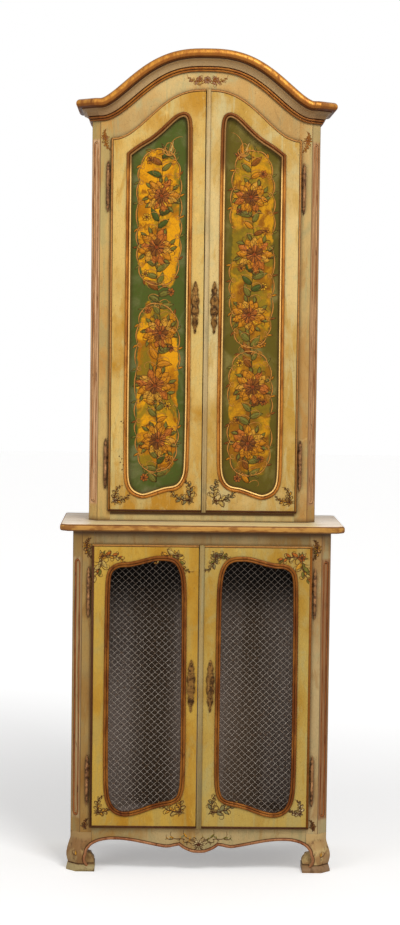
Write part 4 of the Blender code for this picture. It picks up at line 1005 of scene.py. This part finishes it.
def panel_paint(name, rear, ground, faded, fields, deep, bright, shade):
    """Mottled ground with ragged ochre fields, cloudy with amber, russet and olive under crazed varnish, with
    painted shade and dirt in its corners, on a board that is bare on its rear face."""
    coat = Finish(name, Specular_IOR_Level=0.08)
    ragged = coat.band(coat.noise(38.0, 5.0, 0.6), 0.3, 0.7, -0.25, 0.25)
    inside = None
    for middle, half in fields:
        reach = ragged
        for axis, centre, width in (("X", middle.x, half.x), ("Z", middle.y, half.y)):
            share = coat.level("DIVIDE", coat.away(coat.height(axis), centre), width)
            reach = coat.level("ADD", reach, coat.level("POWER", share, 4.0))
        field = coat.band(reach, 1.15, 0.85)
        inside = field if inside is None else coat.level("MAXIMUM", inside, field)
    clouds = coat.noise(10.0, 6.0, 0.62, (1, 1, 0.9), 0.8)
    coat.ground(clouds, 0.42, 0.58, deep, bright)
    coat.wash(FIELD_RUSSET, coat.noise(19.0, 6.0, 0.62, (1, 1, 1), 1.2), 0.52, 0.64, 0.85)
    coat.wash(FIELD_OLIVE, coat.noise(13.0, 6.0, 0.62, (1, 1, 0.8), 0.8), shade, shade + 0.12, 0.80)
    ochre = coat.colour
    mottle = coat.noise(14.0, 6.0, 0.6, (1, 1, 0.8), 0.6)
    coat.ground(mottle, 0.45, 0.68, ground, faded)
    coat.colour = coat.blend(inside, coat.colour, ochre)
    crazing = coat.cracks(120.0, (1, 1, 0.6))
    coat.wash(GRIME_AND_SHADE, crazing, 0.05, 0.0, 0.35)
    coat.dirt_and_shade(0.012, 0.7, GRIME_AND_SHADE)
    coat.wash(bare_colour(coat)[0], coat.height("Y"), rear - SKIN, rear - SKIN / 2)
    relief = coat.level("ADD", clouds, coat.band(crazing, 0.0, 0.06, -0.6, 0.0))
    return coat.done((mottle, 0.3, 0.7, 0.30, 0.48), (relief, 0.0003, 0.5))


def scroll_frame(painting, middle, half):
    """Gilt C scrolls end to end round a field, with curled ends, umber shadows and leaves where they meet."""
    outline = [field_place(middle, half, math.tau * step / FIELD_STEPS) for step in range(FIELD_STEPS)]
    run = 0.0
    marks = [0]
    for index in range(1, len(outline)):
        run += (outline[index] - outline[index - 1]).length
        if run > SCROLL_LENGTH * painting.random.uniform(0.8, 1.2):
            marks.append(index)
            run = 0.0
    for start, end in zip(marks, marks[1:] + [len(outline)]):
        if end - start < 3:
            continue
        first, last = outline[start], outline[end % len(outline)]
        along = (last - first).normalized()
        outwards = Vector((along.y, -along.x))
        bowed = [
            first.lerp(last, step / BOW_STEPS) + outwards * SCROLL_BOW * math.sin(math.pi * step / BOW_STEPS)
            for step in range(BOW_STEPS + 1)
        ]
        painting.stroke(bowed, 0.0040, "gilt", "leaf")
        painting.stroke([point - outwards * 0.0022 for point in bowed], 0.0014, "umber", "leaf")
        way = math.atan2(along.y, along.x)
        painting.tendril(last, way + 0.5, 0.024, 4.6, 0.0030, "gilt")
        painting.tendril(first, way + math.pi - 0.5, 0.020, -4.6, 0.0026, "gilt")
        paint = painting.random.choice(("amber", "olive", "russet"))
        painting.edged_leaf(first, way - 1.1, 0.017, 0.0060, paint)


def rosette(painting, centre, radius):
    """A many-petalled blossom, its rings of petals darker towards the heart, with umber edges and veins."""
    for petals, reach, paints, layer in PETALS:
        start = painting.random.uniform(0, math.tau)
        width = radius * reach * 6.0 / petals
        for petal in range(petals):
            heading = start + math.tau * petal / petals
            length = radius * reach * painting.random.uniform(0.85, 1.1)
            root = centre + aimed(heading) * radius * 0.08
            paint = painting.random.choice(paints)
            painting.edged_leaf(root, heading, length, width, paint, layer, "petal", 0.35)
            vein = centre + aimed(heading + 0.1) * length * 0.40
            painting.tendril(vein, heading, length * 0.5, 0.5, 0.0014)
    for petal in range(9):
        painting.tendril(centre, math.tau * petal / 9, radius * 0.20, 2.0, 0.0020, "red")


def climber(painting, low, size, blossoms):
    """A winding stem through the blossoms, with leaves, buds and curls in the gaps between them."""
    centres = [low + Vector((size.x * across, size.y * up)) for (across, up), _ in blossoms]
    foot, tip = low + Vector((size.x * 0.5, size.y * 0.035)), centres[-1] + Vector((0, size.y * 0.13))
    stem = smooth([foot, *centres, tip], spacing=size.y / STEM_STEPS)
    painting.stroke(stem, 0.0050, "leaf", "tendril", "leaf")
    painting.stroke(stem, 0.0016, "umber", "tendril")
    hand = 1
    for index, here in enumerate(stem[:-2]):
        clear = min((here - centre).length / radius for centre, (_, radius) in zip(centres, blossoms))
        if clear < 0.95:
            continue
        along = stem[index + 1] - here
        way = math.atan2(along.y, along.x)
        turn = painting.random.uniform(0.7, 1.1)
        paint = painting.random.choice(("olive", "leaf", "olive", "amber", "russet", "olive"))
        reach = painting.random.uniform(0.034, 0.048)
        leaf = painting.edged_leaf(here, way + hand * turn, reach, reach * 0.42, paint, "bloom", "leaf", 0.9)
        painting.stroke(leaf[:-1], 0.0013, "umber")
        painting.tendril(here, way - hand * 0.9, reach * 1.25, -hand * 3.6, 0.0024, "gilt")
        if index % 3 == 0:
            bud = here + Vector((hand * -0.034, 0.012))
            painting.blossom(bud, 0.012, 7, painting.random.choice(("orange", "yellow", "amber")), "red")
        hand = -hand
    for centre, (_, radius) in zip(centres, blossoms):
        for step in range(9):
            heading = math.tau * (step + painting.random.uniform(0.2, 0.8)) / 9
            way = aimed(heading)
            edge = centre + way * radius * 0.85
            painting.tendril(edge, heading, radius * 0.62, 3.6 * hand, 0.0022, "umber")
            painting.edged_leaf(centre + way * radius * 0.8, heading + 0.4, radius * 0.5, 0.011, "olive")
            hand = -hand
        rosette(painting, centre, radius)


def clipped(painting, outline):
    """Drops the strokes that run past an outline."""
    def within(strand):
        cuts = (crossings(Vector((place.x, place.z)), RIGHT, outline) for place, _ in strand)
        return all(sum(cut > 0 for cut in found) % 2 for found in cuts)

    for layer, strands in painting.layers.items():
        painting.layers[layer] = [(strand, paint) for strand, paint in strands if within(strand)]


for label, (ground, faded) in PANEL_GROUNDS.items():
    door = f"upper_door_{label}"
    line = smooth(crest(f"{door}_moulding"), closed=True)
    low = Vector((min(point.x for point in line), min(point.y for point in line)))
    size = Vector((max(point.x for point in line), max(point.y for point in line))) - low
    fields = [
        (low + Vector((size.x / 2, size.y * middle)), Vector((size.x * FIELD_SHARE, size.y * half)))
        for middle, half in PANEL_FIELDS[label]
    ]
    front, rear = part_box(f"{door}_panel")
    coats = panel_paint(f"{label}_panel_paint", rear.y, ground, faded, fields, *FIELD_PAINTS[label])
    wear(NODES[f"{door}_panel"], coats)
    painting = Painting(f"{door}_climber", Vector((0, front.y, 0)), seed=11 + len(label))
    climber(painting, low, size, BLOSSOMS[label])
    for middle, half in fields:
        scroll_frame(painting, middle, half)
    peak = low + Vector((size.x * PEAK[label], size.y * PEAK_HEIGHT))
    for turn, length, curl in FINIAL:
        painting.tendril(peak, turn, length, curl, 0.0032, "gilt")
        paint = painting.random.choice(FINIAL_PAINTS)
        painting.edged_leaf(peak, turn - curl * 0.25, length * 0.55, 0.0075, paint)
    clipped(painting, grown(line, -PANEL_MARGIN))
    painting.finish(door, "green_lacquer")

# The waist top: one glued-up pine board laid on the base, its upper face painted cream, yellower and darker
# before the upper stage, partly patina and partly painted shade, and cracked along the grain, its rounded
# edge gilt between two red-brown lines and darkened underneath as painted shade.
SLAB_LOW, SLAB_HIGH = (corner.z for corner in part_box("waist_slab"))
SLAB_WINGS = 0.300, 0.345  # where the paler paint beside the upper stage begins
SLAB_LINES = (SLAB_HIGH - 0.0026, SLAB_LOW + 0.0026)


def waist_paint():
    coat = Finish("waist_paint_and_gilding")
    clouds = coat.noise(9.0, 5.0, 0.6, (0.5, 2, 1), 0.5)
    streaks = coat.noise(16.0, 4.0, 0.65, (1.2, 26, 1), 0.3)
    # Yellower and darker before the upper stage, partly patina and partly painted shade; paler on the wings.
    coat.ground(coat.level("ABSOLUTE", coat.height("X")), *SLAB_WINGS, (0.78, 0.62, 0.30), (0.97, 0.84, 0.68))
    coat.wash((0.62, 0.48, 0.31), clouds, 0.44, 0.66, 0.6)
    coat.wash((0.24, 0.14, 0.070), streaks, 0.56, 0.66, 0.6)
    top, height = coat.colour, coat.height()
    rubs = coat.noise(60.0, 5.0, 0.6, (0.4, 1, 1))
    coat.ground(rubs, 0.42, 0.62, (0.52, 0.25, 0.050), (0.30, 0.115, 0.02))
    for middle in SLAB_LINES:
        coat.wash((0.085, 0.022, 0.008), coat.away(height, middle), 0.0015, 0.0005, 0.92)
    # The underside darkened: painted shade.
    coat.wash(GRIME_AND_SHADE, height, SLAB_LOW + 0.0012, SLAB_LOW + 0.0002)
    coat.wash(top, height, SLAB_HIGH - 0.0010, SLAB_HIGH - 0.0002)
    return coat.done((clouds, 0.3, 0.7, 0.42, 0.6), (streaks, 0.0004, 0.5))


eased("waist_slab", "cabinet", "waist_paint", waist_paint())

# The canted corner panels: a half-round bead of limewood pinned into the sunk, round-ended field of each
# canted corner, and a low crowned ground within it. Beads are gilt above and red-brown below, grounds
# streaked cream and brown, darker on the right as painted shade.
CANT_DEPTH = 0.0030
CANT_BEAD = 0.0033
CANT_CROWN = 0.0022
CANT_PLAY = 0.0002  # between the bead and the ground within it
GROUND_UNDER = 0.0005
GROUND_LINES = 7
BEAD_GILT = {
    "base": gilding("base_bead_gilding", (0.34, 0.115, 0.030), (0.20, 0.055, 0.014), (0.07, 0.018, 0.006)),
    "upper": gilding("upper_bead_gilding", (0.56, 0.30, 0.13), (0.36, 0.14, 0.045), (0.12, 0.04, 0.015)),
}


def streaked(name, pale, dark):
    """Paint rubbed through in upright streaks."""
    coat = Finish(name)
    streaks = coat.noise(*STREAKS)
    coat.ground(streaks, 0.40, 0.62, pale, dark)
    coat.wash(GRIME_AND_SHADE, coat.noise(90.0, 4.0, 0.6, (1, 1, 0.3)), 0.60, 0.70, 0.8)
    return coat.done((streaks, 0.3, 0.7, 0.36, 0.55), (streaks, 0.0005, 0.5))


def capsule(half, low, high, steps=10):
    """A round-ended upright outline, clockwise from the front."""
    turns = [math.pi * step / steps for step in range(steps + 1)]
    top = [Vector((-half * math.cos(turn), high - half + half * math.sin(turn))) for turn in turns]
    return top + [Vector((half * math.cos(turn), low + half - half * math.sin(turn))) for turn in turns]


def cant_face(stage, label):
    """The middle of a stage's canted corner on the floor, with its own way across and way outwards."""
    half, front = post_corner(stage, label)
    side, cant = SIDES[label], CANTS[stage]
    middle = Vector(((half - cant / 2) * side, front + cant / 2, 0))
    across = Vector((1, side, 0)).normalized()
    return middle, (across, Vector((side, -1, 0)).normalized())


for (stage, label), paints in CANT_PAINTS.items():
    width, low, high = CANT_FIELDS[stage]
    middle, face = cant_face(stage, label)
    half = width / 2 - CANT_BEAD - CANT_PLAY
    section = [(out, up - CANT_DEPTH) for out, up in reed(0, 0, CANT_BEAD, 180, 0, 8)]
    line = capsule(half, low + CANT_BEAD, high - CANT_BEAD)
    bead = swept(f"{stage}_cant_bead_{label}", stations(line, middle, face, True), section, True)
    fit(bead, "cabinet", "gilding", BEAD_GILT[stage])
    turns = [step / GROUND_LINES for step in range(GROUND_LINES + 1)]
    crown = [(half * (1 - 2 * turn), CANT_CROWN * math.sin(math.pi * turn) - CANT_DEPTH) for turn in turns]
    crown += [(-half, -CANT_DEPTH - GROUND_UNDER), (half, -CANT_DEPTH - GROUND_UNDER)]
    run = [Vector((0, low + half)), Vector((0, high - half))]
    field = swept(f"{stage}_cant_field_{label}", stations(run, middle, face), crown)
    fit(field, "cabinet", "cream_lacquer", streaked(f"{stage}_{label}_streaked", *paints))

# The carved lower edge: a half-round bead worked along the scalloped apron and down the C scroll of each
# foot, gilt over red-brown, with the flower of the pendant and small leaves painted above it.
BASE_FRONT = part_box("base_apron")[0].y
BASE_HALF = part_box("base_post_right")[1].x
FOOT_HEIGHT = 0.110
FOOT_BULGE = 0.011
BULGE_SHARES = [
    (0.15, 0.45), (0.19, 0.60), (0.35, 0.98), (0.46, 1.00), (0.61, 0.62), (0.74, 0.18), (0.84, 0.0),
]
SCROLL_SHARES = [
    (-0.75, 0.168), (-1.25, 0.222), (-1.55, 0.29), (-1.55, 0.37), (-1.17, 0.455), (-1.08, 0.53), (-0.5, 0.61),
]
FOOT_WIDTH, FOOT_TOE = 0.0595, 0.010
APRON_BEAD = 0.0039
BEAD_HEIGHT = 0.0031
FOOT_START, FOOT_FULL = 0.294, 0.306
EDGE_SAMPLING = 0.004
LINE_OUT = APRON_BEAD * 2 + 0.0008  # from the apron's edge to the line above its bead
APRON_FLOWER = Vector((0, 0.0795))
APRON_CURLS = [  # start, heading, length and turn
    ((0.010, 0.084), 0.5, 0.034, -2.4), ((0.012, 0.090), 0.1, 0.050, 1.8),
    ((0.050, 0.094), -0.2, 0.045, 2.2), ((0.006, 0.068), -0.9, 0.022, 2.6),
    ((0.020, 0.078), 0.9, 0.020, -3.0), ((0.006, 0.092), 1.0, 0.018, -3.6),
    ((0.030, 0.086), -0.6, 0.022, 3.2), ((0.040, 0.091), 0.5, 0.024, -3.0),
    ((0.072, 0.093), -0.3, 0.030, 2.4),
]


def bulge(x, z):
    """How far the face of the foot swells forward of the apron's face."""
    share = z / FOOT_HEIGHT
    swell = 0.0
    for (low, first), (high, second) in zip(BULGE_SHARES, BULGE_SHARES[1:]):
        if low <= share <= high:
            swell = first + (second - first) * (share - low) / (high - low)
    if share < BULGE_SHARES[0][0]:
        swell = BULGE_SHARES[0][1]
    along = min(1.0, max(0.0, (abs(x) - FOOT_START) / (FOOT_FULL - FOOT_START)))
    return FOOT_BULGE * swell * along * along * (3 - 2 * along)


apron_low = sorted(
    {(round(vertex.co.x, 5), round(vertex.co.z, 5)) for vertex in NODES["base_apron"].data.vertices
     if vertex.co.y < BASE_FRONT + TINY and vertex.co.z < FOOT_HEIGHT}
)
scroll = [Vector((-BASE_HALF + FOOT_WIDTH + FOOT_TOE * out, FOOT_HEIGHT * up)) for out, up in SCROLL_SHARES]
edge = scroll + [Vector(point) for point in apron_low]
edge += [Vector((-point.x, point.y)) for point in reversed(scroll)]
edge_stations = [
    (place - Vector((0, bulge(place.x, place.z), 0)), left, outwards)
    for place, left, outwards in stations(smooth(edge, spacing=EDGE_SAMPLING), Vector((0, BASE_FRONT, 0)))
]
bead_section = [
    (out + APRON_BEAD, up * BEAD_HEIGHT / APRON_BEAD) for out, up in reed(0, 0, APRON_BEAD, 180, 0, 8)
]
# Dark lines along both edges of the bead: painted shade where it meets the apron.
EDGE_GILT = gilding(
    "edge_bead_gilding", (0.37, 0.165, 0.070), (0.20, 0.060, 0.020), (0.09, 0.022, 0.008),
    [(0.05, 0.10), (0.86, 0.08)], 0.46,
)
fit(swept("edge_bead", edge_stations, bead_section), "cabinet", "gilding", EDGE_GILT)

apron_painting = Painting("apron_painting", Vector((0, BASE_FRONT, 0)), lift=bulge, seed=5)
above = [Vector((place.x, place.z)) + Vector((left.x, left.z)) * LINE_OUT for place, left, _ in edge_stations]
apron_painting.stroke(above, 0.0014, "umber", "even")
for step in range(-4, 5):
    apron_painting.tendril(APRON_FLOWER, -math.pi / 2 + step * 0.33, 0.0185, step * 0.25, 0.0026)
apron_painting.blossom(APRON_FLOWER, 0.0125, 8, "cream", "red")
for hand in (-1, 1):
    for start, heading, length, turn in APRON_CURLS:
        way = heading if hand > 0 else math.pi - heading
        curl = apron_painting.tendril(Vector((start[0] * hand, start[1])), way, length, turn * hand, 0.0023)
        leaf = "olive" if hand > 0 else "ochre"
        apron_painting.leaf(curl[4], way + hand * 0.8, length * 0.35, length * 0.14, leaf)
        apron_painting.leaf(curl[6], way - hand * 0.9, length * 0.28, length * 0.12, "slate")
apron_painting.finish("cabinet", "cream_lacquer")

# The feet: limewood scrolls carved to one curve on the front, the side and the corner, standing on small
# blocks and doweled up into the posts. The lacquer is rubbed brown in patches, with a brown band across the
# upper curve that is painted shade.
BLOCK_TOP = 0.0195
FEET_PAINTS = {  # the foot's pale and brown coats, and the block's
    "left": ((0.37, 0.23, 0.085), (0.25, 0.125, 0.04), (0.36, 0.27, 0.12)),
    "right": ((0.54, 0.37, 0.15), (0.38, 0.21, 0.075), (0.27, 0.155, 0.072)),
}
FOOT_MARK = (0.347, 0.046)
POST_MIDDLE = 0.324
POST_SPRAYS = [  # height, arms, blossom and leaves
    (0.925, [(1.57, 0.030, 1.6), (-1.57, 0.045, -1.2)], (0.0090, "ochre", "umber"),
     ("olive", "ochre", "sienna")),
    (0.128, [(1.57, 0.030, 1.6), (-1.3, 0.012, -1.2)], (0.0070, "sienna", "umber"),
     ("slate", "sienna", "ochre")),
]
THIN_SPRAY_LINE = 0.0022


def foot_paint(name, pale, brown, block):
    """Lacquer in cream and brown over the foot, a brown band across its upper curve as painted shade, painted
    shade and dirt in its joints, a dark line above the block, and the block's own colour.
    """
    coat = Finish(name)
    rubs, height = coat.noise(70.0, 5.0, 0.65, (1, 1, 0.5)), coat.height()
    coat.ground(coat.noise(34.0, 5.0, 0.6, (1, 1, 0.7), 0.5), 0.42, 0.60, brown, pale)
    # A brown band from 0.060 m up as painted shade, paler again from 0.084 m up.
    coat.wash(brown, height, 0.060, 0.072, 0.55)
    coat.wash(pale, height, 0.084, 0.098, 0.7)
    coat.wash(GRIME_AND_SHADE, rubs, 0.54, 0.68, 0.8)
    coat.wash(DIRT_AND_SHADE, coat.away(height, BLOCK_TOP + 0.0008), 0.0026, 0.0008, 0.9)
    coat.dirt_and_shade(0.016, 0.85, GRIME_AND_SHADE)
    lacquered, coat.colour = coat.colour, block
    coat.wash(GRIME_AND_SHADE, rubs, 0.50, 0.66, 0.7)
    coat.wash(lacquered, height, BLOCK_TOP - 0.0018, BLOCK_TOP - 0.0006)
    return coat.done((rubs, 0.3, 0.7, 0.40, 0.58), (rubs, 0.0003, 0.4))


for label, paints in FEET_PAINTS.items():
    eased(f"front_foot_{label}", "cabinet", "cream_lacquer", foot_paint(f"foot_{label}_lacquer", *paints))
for label, hand in SIDES.items():
    marks = Painting(f"foot_marks_{label}", Vector((0, BASE_FRONT, 0)), lift=bulge, seed=9)
    centre = Vector((FOOT_MARK[0] * hand, FOOT_MARK[1]))
    way = 0.3 if hand > 0 else math.pi - 0.3
    marks.tendril(centre, way, 0.030, 4.2 * hand, 0.0026)
    marks.leaf(centre, way + 1.2 * hand, 0.014, 0.005, "ochre")
    marks.finish("cabinet", "cream_lacquer")
    head = Painting(f"post_ornament_{label}", Vector((0, BASE_FRONT, 0)), seed=21)
    for up, arms, flower, leaves in POST_SPRAYS:
        arms = [(heading, length, turn * hand) for heading, length, turn in arms]
        head.spray(Vector((POST_MIDDLE * hand, up)), arms, THIN_SPRAY_LINE, flower, leaves)
    head.finish("cabinet", "cream_lacquer")

# The frieze and the heads of the upper posts: a flower spray in rose and umber at the crown of the arch, and
# a small leaf ornament at either end, laid on the cream lacquer.
crown = Vector((0.0, UPPER_CROWN + 0.027))
frieze_painting = Painting("frieze_painting", Vector((0, UPPER_FRONT, 0)), seed=4, ink="russet")
frieze_painting.blossom(crown, 0.0120, 7, "rose", "russet")
for hand in (-1, 1):
    way = 0.0 if hand > 0 else math.pi
    arms = [(way - 0.25 * hand, 0.060, 1.5 * hand)]
    beside = crown + Vector((0.008 * hand, -0.002))
    frieze_painting.spray(beside, arms, THIN_SPRAY_LINE, None, ("rose", "straw", "rose"))
    below = crown + Vector((0.006 * hand, -0.004))
    frieze_painting.tendril(below, way - 0.9 * hand, 0.026, 2.6 * hand, 0.0022)
    frieze_painting.blossom(crown + Vector((0.021 * hand, 0.003)), 0.0080, 6, "rose", "umber")
    arms = [(1.2 if hand > 0 else math.pi - 1.2, 0.030, 1.5 * hand), (-1.57, 0.045, -1.4 * hand)]
    post_head = Vector((0.286 * hand, UPPER_SHOULDER))
    leaves = ("sienna", "straw", "ochre")
    frieze_painting.spray(post_head, arms, THIN_SPRAY_LINE, (0.0080, "rose", "umber"), leaves)
frieze_painting.finish("cabinet", "cream_lacquer")

# The metalwork: pin hinges with turned finials in brown patinated iron, pierced and chased brass escutcheons
# pinned to the meeting stiles, and iron rim locks screwed behind the right doors.
def metal(name, bright, dull, rough, metallic):
    """Metal that has gone dull in patches."""
    skin = Finish(name, Metallic=metallic)
    clouds = skin.noise(70.0, 5.0, 0.65)
    skin.ground(clouds, 0.42, 0.62, bright, dull)
    return skin.done((clouds, 0.3, 0.7, rough, rough + 0.22), (clouds, 0.0002, 0.4))


HINGE_IRON = metal("patinated_hinge", (0.30, 0.140, 0.050), (0.075, 0.030, 0.012), 0.40, 0.4)
LOCK_IRON = metal("lock_iron", (0.14, 0.13, 0.12), (0.06, 0.05, 0.045), 0.45, 0.9)
OLD_BRASS = metal("old_brass", (0.26, 0.125, 0.030), (0.060, 0.026, 0.008), 0.36, 0.7)
SCROLLS = (  # up the plate, heading, length and turn
    (0.78, 0.5, 0.016, 4.2), (0.46, 1.0, 0.018, -4.4), (0.22, 0.3, 0.014, 4.6), (-0.16, -0.4, 0.014, -4.6),
    (-0.42, -1.0, 0.016, 4.4), (-0.66, -0.4, 0.013, -4.2),
)
STEM_REACH = 0.93  # of half the plate
KEYHOLE_GAP = {1: 0.004, -1: 0.011}  # from the plate's middle to each stem

for stage, label, door in DOORS:
    for end in ("lower", "upper"):
        hinge = f"{stage}_hinge_{label}_{end}"
        eased(f"{hinge}_pin", "cabinet", "hinge_metal", HINGE_IRON)
        eased(f"{hinge}_barrel", door, "hinge_metal", HINGE_IRON)
    plate = f"{door}_escutcheon"
    eased(plate, door, "brass", OLD_BRASS)
    low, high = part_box(plate)
    centre = Vector(((low.x + high.x) / 2, (low.z + high.z) / 2))
    half = (high.z - low.z) / 2
    relief = Painting(f"{door}_chasing", Vector((0, low.y, 0)), seed=31)
    for up, heading, length, turn in SCROLLS:
        for hand in (-1, 1):
            way = heading if hand > 0 else math.pi - heading
            start = centre + Vector((0.0006 * hand, half * up))
            relief.tendril(start, way, length, turn * hand, 0.0024, layer="chased")
    for hand, gap in KEYHOLE_GAP.items():
        stem = [centre + Vector((0, hand * half * STEM_REACH)), centre + Vector((0, hand * gap))]
        relief.stroke(stem, 0.0022, "umber", "leaf", "chased")
    relief.finish(door, "brass", OLD_BRASS)

for stage in CANTS:
    for part in ("case", "bolt"):
        wear(NODES[f"{stage}_lock_{part}"], LOCK_IRON)

# The studio: a pale floor, a white backdrop for the camera and for reflections, and soft lamps from the
# front. The floor is paper that only the camera sees whiten with the distance, so it keeps the shadow.
WHITENING = (0.7, 3.5, 0.30, 0.60)  # distances from the middle, and how much whiter the camera sees the paper
bpy.ops.mesh.primitive_plane_add(size=40, location=(0, 0, 0))
floor = bpy.context.object
floor.name = "studio_floor"
paper = Finish("white_paper", Roughness=0.85, Emission_Color=(1, 1, 1))
greys = paper.blend(paper.noise(1.5, 2.0), (0.85, 0.85, 0.85), (0.87, 0.87, 0.87))
paper.feed(paper.shader.inputs["Base Color"], greys)
distance = paper.add("ShaderNodeVectorMath", {0: paper.place}, operation="LENGTH").outputs["Value"]
seen_directly = paper.add("ShaderNodeLightPath").outputs["Is Camera Ray"]
whitened = paper.level("MULTIPLY", paper.band(distance, *WHITENING), seen_directly)
paper.feed(paper.shader.inputs["Emission Strength"], whitened)
wear(floor, paper.material)

scene = bpy.context.scene
scene.view_settings.view_transform = "Standard"
world = bpy.data.worlds.new("studio")
scene.world = world
world.use_nodes = True
tree = world.node_tree
rays = tree.nodes.new("ShaderNodeLightPath").outputs
seen = rays["Is Camera Ray"]
for kind in ("Is Glossy Ray", "Is Transmission Ray"):
    either = tree.nodes.new("ShaderNodeMath")
    either.operation = "MAXIMUM"
    tree.links.new(seen, either.inputs[0])
    tree.links.new(rays[kind], either.inputs[1])
    seen = either.outputs[0]
ambient = tree.nodes["Background"]
ambient.inputs["Color"].default_value = (1.0, 0.99, 0.98, 1)
ambient.inputs["Strength"].default_value = 0.40
backdrop = tree.nodes.new("ShaderNodeBackground")
backdrop.inputs["Color"].default_value = (1, 1, 1, 1)
mixed = tree.nodes.new("ShaderNodeMixShader")
for socket, source in enumerate((seen, ambient.outputs[0], backdrop.outputs[0])):
    tree.links.new(source, mixed.inputs[socket])
tree.links.new(mixed.outputs[0], tree.nodes["World Output"].inputs["Surface"])

LAMPS = {"key": ((1.3, -3.4, 4.6), 1.6, 150), "fill": ((-3.0, -3.4, 2.2), 2.4, 48)}  # place, width, power
AIM = Vector((0, 0, 1.1))
for label, (place, width, power) in LAMPS.items():
    bpy.ops.object.light_add(type="AREA", location=place)
    lamp = bpy.context.object
    lamp.name = f"{label}_lamp"
    lamp.data.size = width
    lamp.data.energy = power
    lamp.rotation_euler = (AIM - Vector(place)).to_track_quat("-Z", "Y").to_euler()

CAMERA_PLACE = Vector((-0.1266, -6.3977, 1.5555))
CAMERA_RIGHT = Vector((0.99976, -0.01800, 0.01257))
CAMERA_AHEAD = Vector((0.01876, 0.99784, -0.06296))
LENS = 86.7
bpy.ops.object.camera_add(location=CAMERA_PLACE)
camera = bpy.context.object
camera.name = "photo_camera"
camera.data.lens = LENS
camera.data.sensor_width = 36
across, behind = CAMERA_RIGHT.normalized(), (-CAMERA_AHEAD).normalized()
upwards = behind.cross(across)
camera.rotation_euler = Matrix((across, upwards, behind)).transposed().to_euler()
scene.camera = camera
